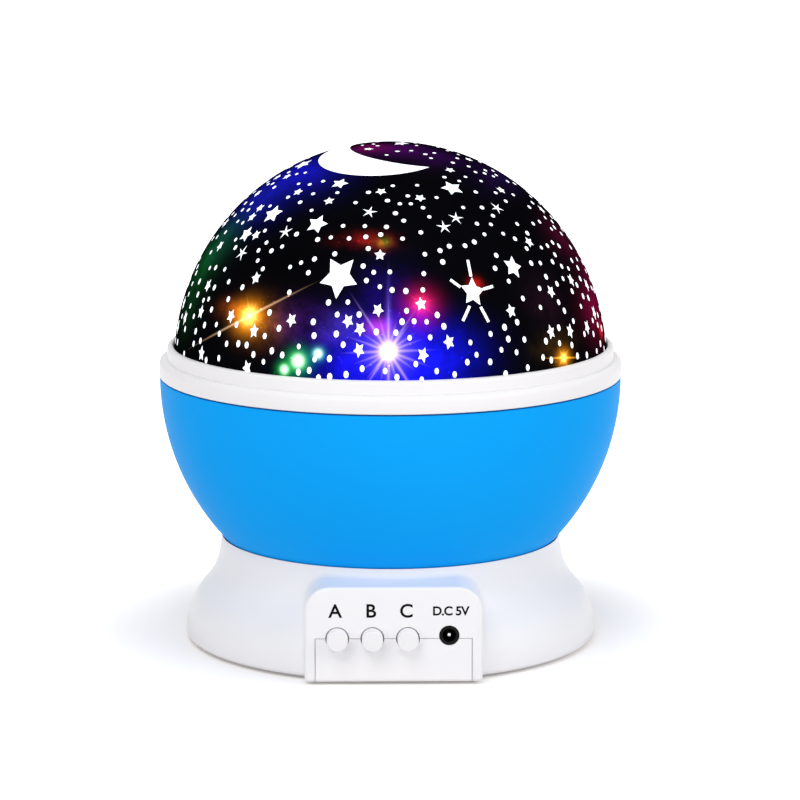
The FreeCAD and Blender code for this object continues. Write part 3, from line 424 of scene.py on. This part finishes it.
def paintedGlowMaterial():
    # black film with the lamps' light painted on as glow: blotches of colour, broken up by cloudy noise,
    # and flares
    mat, nodes, links, shader = newMaterial("nightFilm", 0.35, 0.0)
    shader.inputs["Emission Strength"].default_value = 1.0
    coords = objectCoords(nodes)
    cloud = noise(nodes, links, 190.0, 8.0, 0.66, coords)
    puffs = mathNode(nodes, links, "MULTIPLY_ADD", cloud, 3.4, -1.2, clamp=True)
    total = None
    for spot in glows + flares:
        maker = flareNodes if "angle" in spot else spotNodes
        value = maker(nodes, links, coords, spot)
        if "cloud" in spot:
            share = mathNode(nodes, links, "MULTIPLY_ADD", puffs, spot["cloud"], 1.0 - spot["cloud"])
            value = mathNode(nodes, links, "MULTIPLY", value, share)
        adder = nodes.new("ShaderNodeVectorMath")
        adder.operation = "MULTIPLY_ADD"
        adder.inputs[0].default_value = spot["colour"]
        links.new(value, adder.inputs[1])
        if total:
            links.new(total, adder.inputs[2])
        total = adder.outputs[0]
    # painted specks of light: fine specks that shine where the painted blotches do
    grains = noise(nodes, links, 1100.0, 1.0, 0.5, coords)
    paintedSpecks = mathNode(nodes, links, "MULTIPLY_ADD", grains, 12.0, -8.6, clamp=True)
    lit = nodes.new("ShaderNodeVectorMath")
    lit.operation = "SCALE"
    links.new(total, lit.inputs[0])
    links.new(mathNode(nodes, links, "MULTIPLY_ADD", paintedSpecks, 3.0, 1.0), lit.inputs["Scale"])
    links.new(lit.outputs[0], shader.inputs["Emission Color"])
    tone = mixColours(nodes, links, noise(nodes, links, 40.0, 3.0), (0.0012, 0.0012, 0.0018),
                      (0.0030, 0.0030, 0.0042))
    links.new(tone, shader.inputs["Base Color"])
    gloss = mathNode(nodes, links, "MULTIPLY_ADD", noise(nodes, links, 300.0), 0.08, 0.30)
    links.new(gloss, shader.inputs["Roughness"])
    return mat


materials = {
    "white": mouldedPlastic("whiteShell", (0.885, 0.878, 0.895), (0.865, 0.858, 0.878), 0.40,
                            specular=0.25),
    "button": mouldedPlastic("buttonWhite", (0.865, 0.855, 0.865), (0.845, 0.835, 0.85), 0.42,
                             specular=0.25),
    "inner": mouldedPlastic("innerWhite", (0.84, 0.84, 0.84), (0.80, 0.80, 0.80), 0.55),
    "blue": mouldedPlastic("bowlBlue", (0.004, 0.385, 0.98), (0.003, 0.370, 0.96), 0.5,
                           specular=0.03),
    "gear": mouldedPlastic("naturalAcetal", (0.82, 0.80, 0.72), (0.76, 0.74, 0.66), 0.45),
    "black": mouldedPlastic("socketBlack", (0.006, 0.006, 0.006), (0.004, 0.004, 0.004), 0.5,
                            specular=0.1),
    "rubber": mouldedPlastic("footRubber", (0.62, 0.62, 0.63), (0.55, 0.55, 0.56), 0.85, grain=0.3),
    "lead": mouldedPlastic("leadJacket", (0.55, 0.55, 0.56), (0.48, 0.48, 0.49), 0.6),
    "ink": mouldedPlastic("letterInk", (0.003, 0.003, 0.003), (0.002, 0.002, 0.002), 0.6,
                          specular=0.05),
    "steel": metal("zincSteel", (0.72, 0.72, 0.74), 0.32),
    "can": metal("motorCan", (0.66, 0.66, 0.68), 0.38),
    "board": boardMaterial(),
    "cell": cellMaterial(),
    # the frosted dome and the star windows carry a painted glow of the lamps behind them
    "frosted": frostedMaterial("frostedDome", 0.35),
    "window": frostedMaterial("litWindow", 0.75),
    "paintedGlow": paintedGlowMaterial(),
    "ledWhite": lensMaterial("lensClear", (0.90, 0.92, 0.95), 0.15),
    "ledBlue": lensMaterial("lensBlue", (0.10, 0.22, 0.95), 0.15),
    "ledGreen": lensMaterial("lensGreen", (0.08, 0.75, 0.20), 0.15),
    "ledRed": lensMaterial("lensRed", (0.90, 0.08, 0.08), 0.15),
}
print("materials ready:", len(materials))


# Pieces whose moulded shape is right already: a welded, smoothly shaded copy of each solid

smoothParts = {
    "base_housing": ("footHousing", "base", "white", "white_plastic"),
    "bottom_cover": ("bottomCover", "base", "white", "white_plastic"),
    "battery_door": ("batteryDoor", "battery_door", "white", "white_plastic"),
    "button_a": ("buttonA", "button_a", "button", "white_plastic"),
    "button_b": ("buttonB", "button_b", "button", "white_plastic"),
    "button_c": ("buttonC", "button_c", "button", "white_plastic"),
    "dc_jack": ("supplySocket", "base", "black", "black_plastic"),
    "dome_shell": ("frostedShell", "dome", "frosted", "frosted_plastic"),
    "led_post": ("lampPost", "base", "inner", "inner_plastic"),
    "rubber_feet": ("rubberFeet", "base", "rubber", "rubber"),
    "led_white": ("ledWhite", "base", "ledWhite", "led_clear"),
    "led_blue": ("ledBlue", "base", "ledBlue", "led_blue"),
    "led_green": ("ledGreen", "base", "ledGreen", "led_green"),
    "led_red": ("ledRed", "base", "ledRed", "led_red"),
}


def smoothCopy(node, name, body, material, slotName):
    deselectAll()
    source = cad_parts[node]
    piece = source.copy()
    piece.data = source.data.copy()
    piece.parent = None
    for key in list(piece.keys()):
        del piece[key]
    bpy.context.scene.collection.objects.link(piece)
    makeActive(piece)
    bpy.ops.object.mode_set(mode="EDIT")
    bpy.ops.mesh.select_all(action="SELECT")
    bpy.ops.mesh.remove_doubles(threshold=0.002 * mm)
    bpy.ops.object.mode_set(mode="OBJECT")
    smoothByAngle(piece, 24.0)
    return dress(piece, name, body, materials[material], (node,))


for node, facts in smoothParts.items():
    smoothCopy(node, *facts)
print("smooth copies:", len(smoothParts))

plainParts = {
    "steel": ("housing_screws", "battery_door_screw", "board_screws", "gearbox_screws",
              "turntable_screws", "post_screws", "battery_contacts", "drive_shaft"),
    "can": ("drive_motor",),
    "gear": ("turntable", "thrust_washer", "drive_pinion", "gearbox"),
    "board": ("control_board", "led_board"),
    "black": ("tact_switches", "plunger_a", "plunger_b", "plunger_c"),
    "cell": ("aaa_cells",),
    "lead": ("led_lead",),
}
for materialName, names in plainParts.items():
    for name in names:
        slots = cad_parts[name].data.materials
        slots.clear()
        slots.append(materials[materialName])
print("plain nodes finished")


# Bowl: a squashed sphere cut level at the seam and at the floor, then given its wall

bowl = {"radius": 62.35 * mm, "drop": 63.7 * mm, "wall": 2.0 * mm, "holeRadius": 12.8 * mm,
        "segments": 192, "rings": 96}


def makeBowl():
    low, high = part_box("bowl")
    deselectAll()
    bpy.ops.mesh.primitive_uv_sphere_add(segments=bowl["segments"], ring_count=bowl["rings"], radius=1.0,
                                         location=(0, 0, high.z))
    piece = bpy.context.object
    piece.scale = (bowl["radius"], bowl["radius"], bowl["drop"])
    applyAll(piece)
    bpy.ops.object.mode_set(mode="EDIT")
    bpy.ops.mesh.select_all(action="SELECT")
    bpy.ops.mesh.bisect(plane_co=(0, 0, high.z), plane_no=(0, 0, 1), clear_outer=True)
    bpy.ops.mesh.select_all(action="SELECT")
    bpy.ops.mesh.bisect(plane_co=(0, 0, low.z), plane_no=(0, 0, -1), clear_outer=True)
    bpy.ops.object.mode_set(mode="OBJECT")
    for v in piece.data.vertices:
        v.select = abs(v.co.z - low.z) < 0.001 * mm
    bpy.ops.object.mode_set(mode="EDIT")
    bpy.ops.mesh.select_mode(type="VERT")
    bpy.ops.mesh.extrude_region_move()
    floorRadius = bowl["radius"] * math.sqrt(1 - ((low.z - high.z) / bowl["drop"]) ** 2)
    shrink = bowl["holeRadius"] / floorRadius
    bpy.ops.transform.resize(value=(shrink, shrink, 1.0), center_override=(0, 0, low.z))
    bpy.ops.object.mode_set(mode="OBJECT")
    tidyMesh(piece)
    applyModifier(piece, "SOLIDIFY", thickness=bowl["wall"], offset=-1.0, use_even_offset=True,
                  use_quality_normals=True)
    tidyMesh(piece)
    smoothByAngle(piece, 35.0)
    return dress(piece, "blueBowl", "bowl", materials["blue"], ("bowl",))


# Rings: an outline in millimetres, radius and height, spun about the axis

def spunPiece(outline, steps=256):
    deselectAll()
    bpy.ops.mesh.primitive_circle_add(vertices=len(outline), radius=0.05, fill_type="NOTHING")
    piece = bpy.context.object
    for v, (r, z) in zip(piece.data.vertices, outline):
        v.co = (r, 0.0, z)
    bpy.ops.object.mode_set(mode="EDIT")
    bpy.ops.mesh.select_all(action="SELECT")
    bpy.ops.mesh.spin(steps=steps, angle=2 * math.pi, center=(0, 0, 0), axis=(0, 0, 1))
    bpy.ops.object.mode_set(mode="OBJECT")
    tidyMesh(piece)
    return piece


def roundedCorner(corner, before, after, radius, steps=6):
    # points of an arc that rounds one right-angled corner of an outline
    a = (Vector(before) - Vector(corner)).normalized()
    b = (Vector(after) - Vector(corner)).normalized()
    middle = Vector(corner) + (a + b) * radius
    points = []
    for i in range(steps + 1):
        t = math.pi / 2 * i / steps
        points.append(tuple(middle - b * radius * math.cos(t) - a * radius * math.sin(t)))
    return points


rings = {"rimRadius": 62.5 * mm, "rimRound": 1.5 * mm, "rimBore": 58.9 * mm, "rootDepth": 0.5 * mm,
         "skirtRadius": 59.92 * mm, "skirtBore": 58.32 * mm, "ledgeBore": 55.92 * mm,
         "ledge": 1.5 * mm, "lowRound": 0.3 * mm, "grooveHeight": 0.42 * mm, "grooveDepth": 2.4 * mm,
         "domeRingRadius": 60.3 * mm, "domeRingRound": 1.0 * mm, "spigotRadius": 58.6 * mm,
         "spigotBore": 55.6 * mm, "seatRise": 1.0 * mm, "seatGap": 0.15 * mm, "bevel": 0.3 * mm,
         "partingGap": 0.02 * mm}


def makeRimRing():
    low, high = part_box("rim_ring")
    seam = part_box("bowl")[1].z
    r = rings["rimRadius"]
    outline = roundedCorner((r, high.z), (0, high.z), (r, seam), rings["rimRound"])
    edge, base = seam + rings["grooveHeight"], seam + rings["partingGap"]
    root = seam - rings["rootDepth"]
    outline += roundedCorner((r, edge), (r, high.z), (0, edge), rings["lowRound"], 3)
    outline += [(r - rings["grooveDepth"], edge), (r - rings["grooveDepth"], base),
                (rings["skirtRadius"], base), (rings["skirtRadius"], low.z),
                (rings["ledgeBore"], low.z), (rings["ledgeBore"], low.z + rings["ledge"]),
                (rings["skirtBore"], low.z + rings["ledge"]), (rings["skirtBore"], root),
                (rings["rimBore"], root), (rings["rimBore"], high.z)]
    piece = spunPiece(outline)
    smoothByAngle(piece, 32.0)
    return dress(piece, "rimRing", "bowl", materials["white"], ("rim_ring",))


def makeDomeRing():
    low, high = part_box("dome_ring")
    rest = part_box("rim_ring")[1].z
    r = rings["domeRingRadius"]
    seat = rest + rings["seatRise"]
    flat = math.sqrt(1 - ((seat - dome["centreHeight"]) / dome["rise"]) ** 2)
    bore = dome["radius"] * flat + rings["seatGap"]
    outline = roundedCorner((r, high.z), (0, high.z), (r, rest), rings["domeRingRound"])
    foot, bevel = rest + rings["partingGap"], rings["bevel"]
    outline += [(r, foot), (rings["spigotRadius"], foot), (rings["spigotRadius"], low.z),
                (rings["spigotBore"], low.z), (rings["spigotBore"], seat), (bore, seat),
                (bore, high.z - bevel), (bore + bevel, high.z)]
    piece = spunPiece(outline)
    smoothByAngle(piece, 32.0)
    return dress(piece, "domeRing", "dome", materials["white"], ("dome_ring",))


# Lamp tray: a dished disc with a collar round the lamps

tray = {"radius": 58.02 * mm, "rimWidth": 3.0 * mm, "holeRadius": 16.8 * mm, "thickness": 1.4 * mm,
        "collar": 2.5 * mm, "round": 0.5 * mm}


def makeLampTray():
    low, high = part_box("lamp_tray")
    thick, hole = tray["thickness"], tray["holeRadius"]
    slope, foot = tray["radius"] - tray["rimWidth"], tray["holeRadius"] + tray["thickness"]
    top = low.z + thick + tray["collar"]
    outline = [(tray["radius"], high.z - thick), (tray["radius"], high.z), (slope, high.z),
               (foot, low.z + thick)]
    outline += roundedCorner((foot, top), (foot, low.z), (hole, top), tray["round"], 4)
    outline += roundedCorner((hole, top), (foot, top), (hole, low.z), tray["round"], 4)
    outline += [(hole, low.z), (foot, low.z), (slope, high.z - thick)]
    piece = spunPiece(outline, 128)
    smoothByAngle(piece, 24.0)
    return dress(piece, "lampTray", "bowl", materials["inner"], ("lamp_tray",))


# Black film of the dome

film = {"thickness": 0.8 * mm, "segments": 192, "rings": 96}


def makeFilm():
    low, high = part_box("star_mask")
    deselectAll()
    bpy.ops.mesh.primitive_uv_sphere_add(segments=film["segments"], ring_count=film["rings"], radius=1.0,
                                         location=(0, 0, dome["centreHeight"]))
    piece = bpy.context.object
    piece.scale = (dome["radius"], dome["radius"], dome["rise"])
    applyAll(piece)
    bpy.ops.object.mode_set(mode="EDIT")
    bpy.ops.mesh.select_all(action="SELECT")
    bpy.ops.mesh.bisect(plane_co=(0, 0, low.z), plane_no=(0, 0, -1), clear_outer=True)
    bpy.ops.object.mode_set(mode="OBJECT")
    applyModifier(piece, "SOLIDIFY", thickness=film["thickness"], offset=-1.0)
    tidyMesh(piece)
    smoothByAngle(piece, 35.0)
    return dress(piece, "nightFilm", "dome", materials["paintedGlow"], ("star_mask",))


# Windows: thin inlays that lie on the film, each laid on the dome's curve

inlay = {"lift": 0.045 * mm, "depth": 0.07 * mm, "waist": 0.52, "thinWaist": 0.24,
         "stretchAtFoot": 1.5, "stretchLoss": 0.0105}


def layOnDome(piece, middle, spin=0.0):
    # the piece is modelled flat about the origin, in X and Y; its points go onto the dome
    out, right, up = domeAxes(middle)
    height = math.degrees(math.asin(out.z))
    stretch = inlay["stretchAtFoot"] - inlay["stretchLoss"] * height
    c, s = math.cos(spin), math.sin(spin)
    for v in piece.data.vertices:
        x, y = v.co.x * c - v.co.y * s, v.co.x * s + v.co.y * c
        v.co = ontoDome(middle + right * x + up * (y * stretch), inlay["lift"])


def starPiece(radius, waist, cuts):
    # a star from a ten-sided disc: every second point is drawn in
    deselectAll()
    bpy.ops.mesh.primitive_circle_add(vertices=10, radius=radius, fill_type="TRIFAN")
    piece = bpy.context.object
    for v in piece.data.vertices:
        step = round(math.atan2(v.co.x, v.co.y) / math.radians(36.0))
        if v.co.length > radius / 2 and step % 2:
            v.co *= waist
    if cuts:
        makeActive(piece)
        bpy.ops.object.mode_set(mode="EDIT")
        bpy.ops.mesh.select_all(action="SELECT")
        bpy.ops.mesh.subdivide(number_cuts=cuts)
        bpy.ops.object.mode_set(mode="OBJECT")
    return piece


def joinPieces(parts, name):
    deselectAll()
    for part in parts:
        part.select_set(True)
    bpy.context.view_layer.objects.active = parts[0]
    bpy.ops.object.join()
    piece = bpy.context.object
    piece.name = name
    return piece


def finishInlays(parts, name):
    piece = joinPieces(parts, name)
    applyModifier(piece, "SOLIDIFY", thickness=inlay["depth"], offset=-1.0)
    return dress(piece, name, "dome", materials["window"])


# The larger stars, as turn and height on the dome, then radius and spin in degrees
greatStars = [(-16.0, 31.8, 5.2, 180.0), (23.0, 27.3, 3.3, 10.0), (-28.4, 46.4, 3.0, 10.0),
              (-51.5, 48.0, 3.1, -12.0), (-27.9, 61.0, 2.4, 8.0), (30.7, 58.9, 3.2, -8.0),
              (39.0, 32.9, 2.8, 20.0), (-78.0, 66.5, 3.2, 0.0), (100.0, 40.0, 2.7, 15.0),
              (-58.3, 40.8, 2.3, 5.0), (118.0, 58.0, 3.2, 30.0), (150.0, 35.0, 4.6, 180.0),
              (-160.0, 50.0, 3.2, 25.0), (-115.0, 30.0, 3.2, -20.0), (-136.0, 62.0, 3.0, 12.0),
              (64.0, 87.0, 3.0, 0.0)]

# Small stars as they stand in the photograph: pixel place
smallStarPixels = [(368.5, 149), (256, 235), (287, 176.5), (298, 192), (329, 201), (381, 191.5),
                   (260, 208), (252, 217), (220, 246), (380, 255), (256, 278), (208, 285.5), (184, 303),
                   (201, 312), (231, 316),
                   (254, 331), (291.5, 320), (348, 321), (378, 310), (360, 329), (359, 350), (201.5, 353.5),
                   (247, 368), (450, 170), (420, 198), (501, 190), (541.5, 209.5), (529, 242), (421, 304),
                   (511, 311), (551, 291.5), (571, 280), (449, 342), (423, 355), (551, 332), (570, 331),
                   (587, 327), (594, 312.5)]
thinStarPixels = [(369.5, 212), (285.5, 232), (242, 253), (456, 218), (444, 227), (497, 208)]
windows = {"smallRadius": 1.5 * mm, "thinRadius": 2.1 * mm, "dotRadius": 0.62 * mm, "dotCount": 640,
           "dotSpacing": 2.8 * mm, "seed": 11, "lowestHeight": 5.8, "mostTries": 20000,
           "dotSizes": (0.85, 1.12), "backStarTries": 46, "backTurns": (75.0, 285.0),
           "backHeights": (10.0, 75.0)}

# Rays round the second star: where each starts and ends in the photograph
starRays = {"width": 0.75 * mm, "middle": (471.7, 291.7),
            "ends": [((470.9, 276.5), (467.7, 260.0)), ((460.3, 287.1), (450.3, 279.7)),
                     ((483.2, 289.2), (492.9, 286.3)), ((469.6, 306.0), (462.9, 320.9)),
                     ((480.6, 306.9), (488.6, 322.0))]}
taken = []


def makeGreatStars():
    parts = []
    for turn, height, radius, spin in greatStars:
        middle = domeFromAngles(turn, height)
        piece = starPiece(radius * mm, inlay["waist"], 2)
        layOnDome(piece, middle, -math.radians(spin))
        taken.append((middle, radius * mm * 0.95))
        parts.append(piece)
    return finishInlays(parts, "greatStars")


def makeSmallStars():
    random.seed(windows["seed"])
    parts = []

    def addStar(middle, radius, waist):
        piece = starPiece(radius, waist, 0)
        layOnDome(piece, middle, random.uniform(0, math.pi))
        taken.append((middle, radius))
        parts.append(piece)

    for pixel in smallStarPixels:
        addStar(domeFromPixel(*pixel), windows["smallRadius"], inlay["waist"])
    for i in range(windows["backStarTries"]):
        middle = domeFromAngles(random.uniform(*windows["backTurns"]),
                                random.uniform(*windows["backHeights"]))
        if any((middle - t).length < r + windows["smallRadius"] * 2 for t, r in taken):
            continue
        addStar(middle, windows["smallRadius"], inlay["waist"])
    for pixel in thinStarPixels:
        addStar(domeFromPixel(*pixel), windows["thinRadius"], inlay["thinWaist"])
    return finishInlays(parts, "smallStars")


def makeStarRays():
    # five bars round the rayed star
    parts = []
    for first, last in starRays["ends"]:
        start, end = domeFromPixel(*first), domeFromPixel(*last)
        along = end - start
        out = domeAxes(start)[0]
        across = out.cross(along).normalized()
        deselectAll()
        bpy.ops.mesh.primitive_plane_add(size=1.0)
        bar = bpy.context.object
        bar.scale = (starRays["width"], 1.0, 1.0)
        applyAll(bar)
        makeActive(bar)
        bpy.ops.object.mode_set(mode="EDIT")
        bpy.ops.mesh.subdivide(number_cuts=3)
        bpy.ops.object.mode_set(mode="OBJECT")
        for v in bar.data.vertices:
            place = start + along * (v.co.y + 0.5) + across * v.co.x
            v.co = ontoDome(place, inlay["lift"])
        tidyMesh(bar, 0.0001 * mm)
        parts.append(bar)
    middle = domeFromPixel(*starRays["middle"])
    taken.append((middle, (domeFromPixel(*starRays["ends"][0][1]) - middle).length))
    return finishInlays(parts, "starRays")


def makeMoon():
    # a disc, bitten by a second disc, laid on the crown of the dome
    moon = {"middle": (-2.5 * mm, -8.3 * mm), "radius": 16.7 * mm, "bite": (6.2 * mm, -2.9 * mm),
            "biteRadius": 17.0 * mm, "segments": 144, "depth": 1.0 * mm, "cuts": 24,
            "cutsPerRadius": 11.0, "clearance": 1.6 * mm}
    deselectAll()
    bpy.ops.mesh.primitive_cylinder_add(vertices=moon["segments"], radius=moon["radius"],
                                        depth=moon["depth"], location=(*moon["middle"], 0))
    piece = bpy.context.object
    applyAll(piece)
    bpy.ops.mesh.primitive_cylinder_add(vertices=moon["segments"], radius=moon["biteRadius"],
                                        depth=moon["depth"] * 3, location=(*moon["bite"], 0))
    bite = bpy.context.object
    applyAll(bite)
    applyModifier(piece, "BOOLEAN", object=bite, operation="DIFFERENCE", solver="EXACT")
    bpy.data.objects.remove(bite)
    makeActive(piece)
    bpy.ops.object.mode_set(mode="EDIT")
    bpy.ops.mesh.select_all(action="SELECT")
    bpy.ops.mesh.bisect(plane_co=(0, 0, 0), plane_no=(0, 0, -1), clear_outer=True)
    bpy.ops.mesh.select_mode(type="FACE")
    bpy.ops.mesh.select_all(action="DESELECT")
    bpy.ops.object.mode_set(mode="OBJECT")
    for f in piece.data.polygons:
        f.select = f.normal.z < 0.5
    bpy.ops.object.mode_set(mode="EDIT")
    bpy.ops.mesh.delete(type="FACE")
    bpy.ops.mesh.select_mode(type="VERT")
    step = moon["radius"] / moon["cutsPerRadius"]
    for side, normal in ((0, (1, 0, 0)), (1, (0, 1, 0))):
        for i in range(moon["cuts"]):
            place = [0.0, 0.0, 0.0]
            place[side] = moon["middle"][side] - moon["radius"] + i * step
            bpy.ops.mesh.select_all(action="SELECT")
            bpy.ops.mesh.bisect(plane_co=place, plane_no=normal)
    bpy.ops.mesh.select_all(action="SELECT")
    bpy.ops.mesh.quads_convert_to_tris()
    bpy.ops.object.mode_set(mode="OBJECT")
    centre = dome["centreHeight"]
    for v in piece.data.vertices:
        flat = (v.co.x ** 2 + v.co.y ** 2) / dome["radius"] ** 2
        top = Vector((v.co.x, v.co.y, centre + dome["rise"] * math.sqrt(1 - flat)))
        v.co = ontoDome(top, inlay["lift"])
    tidyMesh(piece, 0.001 * mm)
    spread = [v.co.copy() for v in piece.data.vertices][::5]
    taken.extend((place, moon["clearance"]) for place in spread)
    return finishInlays([piece], "crescentMoon")


def makeDots():
    random.seed(windows["seed"] + 5)
    taken.extend((domeFromPixel(*spot["at"]), windows["dotRadius"]) for spot in flares)
    deselectAll()
    bpy.ops.mesh.primitive_circle_add(vertices=12, radius=windows["dotRadius"], fill_type="NGON")
    pattern = bpy.context.object
    places, parts, tries = [], [], 0
    while len(places) < windows["dotCount"] and tries < windows["mostTries"]:
        tries += 1
        high = math.sin(math.radians(windows["lowestHeight"]))
        height = math.degrees(math.asin(random.uniform(high, 0.999)))
        middle = domeFromAngles(random.uniform(0.0, 360.0), height)
        if any((middle - p).length < windows["dotSpacing"] for p in places):
            continue
        if any((middle - t).length < r + windows["dotRadius"] * 2.2 for t, r in taken):
            continue
        places.append(middle)
        dot = pattern.copy()
        dot.data = pattern.data.copy()
        bpy.context.scene.collection.objects.link(dot)
        dot.data.transform(Matrix.Scale(random.uniform(*windows["dotSizes"]), 4))
        layOnDome(dot, middle)
        parts.append(dot)
    bpy.data.objects.remove(pattern)
    print("dots laid:", len(parts))
    return finishInlays(parts, "starDots")


makeBowl()
makeRimRing()
makeDomeRing()
makeLampTray()
makeFilm()
print("bowl, rings and film made")
makeMoon()
makeGreatStars()
makeStarRays()
makeSmallStars()
makeDots()
print("windows made")


# Lettering on the panel

letters = {"face": -56.2 * mm, "height": 19.6 * mm, "capShare": 0.70, "depth": 0.05 * mm,
           "bold": 0.082 * mm,
           "texts": [("A", -15.1, 3.5), ("B", -5.9, 3.5), ("C", 3.3, 3.5), ("D.C 5V", 14.75, 2.3)]}


def makeLetters():
    parts = []
    for text, x, capHeight in letters["texts"]:
        deselectAll()
        bpy.ops.object.text_add(location=(0, 0, 0))
        word = bpy.context.object
        word.data.body = text
        word.data.align_x = "CENTER"
        word.data.align_y = "CENTER"
        word.data.size = capHeight * mm / letters["capShare"]
        word.data.extrude = letters["depth"] / 2
        word.data.offset = letters["bold"]
        if len(text) > 1:
            word.data.space_character = 0.93
        bpy.ops.object.convert(target="MESH")
        word = bpy.context.object
        word.rotation_euler = (math.radians(90), 0, 0)
        word.location = (x * mm, letters["face"] - letters["depth"] / 2 + 0.01 * mm, letters["height"])
        applyAll(word)
        parts.append(word)
    piece = joinPieces(parts, "panelLetters")
    tidyMesh(piece, 0.001 * mm)
    return dress(piece, "panelLetters", "base", materials["ink"])


makeLetters()
print("letters made")

socketPin = {"place": (14.4 * mm, 13.2 * mm), "radius": 0.66 * mm, "front": -55.6 * mm,
             "length": 1.4 * mm, "round": 0.55 * mm}


def makeSocketPin():
    # the bright tip of the socket's pin
    x, z = socketPin["place"]
    deselectAll()
    bpy.ops.mesh.primitive_cylinder_add(vertices=32, radius=socketPin["radius"], depth=socketPin["length"],
                                        location=(x, socketPin["front"] + socketPin["length"] / 2, z),
                                        rotation=(math.radians(90), 0, 0))
    piece = bpy.context.object
    applyAll(piece)
    applyModifier(piece, "BEVEL", width=socketPin["round"], segments=4)
    smoothByAngle(piece, 40.0)
    return dress(piece, "socketPin", "base", materials["steel"])


makeSocketPin()


# Floor, light and camera

# nearGlow is the floor's weak glow by the object, a painted shade round its foot; farGlow is the floor's
# full white from farDistance out
studio = {"floorSize": 12.0, "floorColour": (0.90, 0.87, 0.85), "ambient": 0.47, "nearGlow": 0.08,
          "farGlow": 1.0, "farDistance": 0.115, "aim": (0, 0, 0.06)}
lamps = [{"name": "keyLight", "place": (-0.30, -0.75, 1.0), "size": 0.8, "power": 5.2},
         {"name": "fillLight", "place": (0.85, -0.55, 0.60), "size": 0.7, "power": 4.0},
         {"name": "sideLight", "place": (-0.65, -0.85, 0.08), "size": 0.5, "power": 1.8},
         {"name": "topLight", "place": (0.0, 0.15, 1.1), "size": 0.8, "power": 0.4}]


def seenStraight(nodes, links):
    # 1 for camera, glossy and transmission rays, 0 for the rays that light the object
    path = nodes.new("ShaderNodeLightPath")
    through = mathNode(nodes, links, "MAXIMUM", path.outputs["Is Glossy Ray"],
                       path.outputs["Is Transmission Ray"])
    return mathNode(nodes, links, "MAXIMUM", path.outputs["Is Camera Ray"], through)


def makeFloor():
    deselectAll()
    bpy.ops.mesh.primitive_plane_add(size=studio["floorSize"], location=(0, 0, 0))
    floor = bpy.context.object
    floor.name = "studioFloor"
    mat, nodes, links, shader = newMaterial("studioFloor", 0.9, 0.1)
    shader.inputs["Base Color"].default_value = (*studio["floorColour"], 1)
    seen = seenStraight(nodes, links)
    glow = nodes.new("ShaderNodeEmission")
    glow.inputs["Color"].default_value = (1, 1, 1, 1)
    # the floor's glow is weak near the object and full far off: painted shade round the foot, on top of the
    # lamps' own shadow
    reach = nodes.new("ShaderNodeVectorMath")
    reach.operation = "LENGTH"
    links.new(objectCoords(nodes), reach.inputs[0])
    share = mathNode(nodes, links, "DIVIDE", reach.outputs["Value"], studio["farDistance"], clamp=True)
    share = mathNode(nodes, links, "POWER", share, 3.0)
    level = mathNode(nodes, links, "MULTIPLY_ADD", share, studio["farGlow"] - studio["nearGlow"],
                     studio["nearGlow"])
    links.new(mathNode(nodes, links, "MULTIPLY", seen, level), glow.inputs["Strength"])
    both = nodes.new("ShaderNodeAddShader")
    links.new(shader.outputs[0], both.inputs[0])
    links.new(glow.outputs[0], both.inputs[1])
    links.new(both.outputs[0], nodes["Material Output"].inputs["Surface"])
    floor.data.materials.append(mat)


def makeWorld():
    world = bpy.data.worlds.new("studioWorld")
    bpy.context.scene.world = world
    world.use_nodes = True
    nodes, links = world.node_tree.nodes, world.node_tree.links
    back = nodes["Background"]
    back.inputs["Color"].default_value = (1, 1, 1, 1)
    seen = seenStraight(nodes, links)
    level = mathNode(nodes, links, "MULTIPLY_ADD", seen, 1.0 - studio["ambient"], studio["ambient"])
    links.new(level, back.inputs["Strength"])


def makeLamp(facts):
    lamp = bpy.data.lights.new(facts["name"], "AREA")
    lamp.energy = facts["power"]
    lamp.size = facts["size"]
    lamp.shape = "DISK"
    holder = bpy.data.objects.new(facts["name"], lamp)
    bpy.context.scene.collection.objects.link(holder)
    holder.location = facts["place"]
    towards = Vector(studio["aim"]) - Vector(facts["place"])
    holder.rotation_euler = towards.to_track_quat("-Z", "Y").to_euler()


def makeCamera():
    place, forward, right, up = cameraBase()
    cam = bpy.data.cameras.new("photoCamera")
    cam.sensor_width = camera["sensor"]
    cam.lens = camera["focalPixels"] * camera["sensor"] / camera["frameWidth"]
    cam.clip_start = 0.01
    cam.clip_end = 20.0
    holder = bpy.data.objects.new("photoCamera", cam)
    bpy.context.scene.collection.objects.link(holder)
    holder.location = place
    holder.rotation_euler = forward.to_track_quat("-Z", "Y").to_euler()
    bpy.context.scene.camera = holder


makeFloor()
makeWorld()
for facts in lamps:
    makeLamp(facts)
makeCamera()
bpy.context.scene.view_settings.view_transform = "Standard"

bpy.context.view_layer.update()
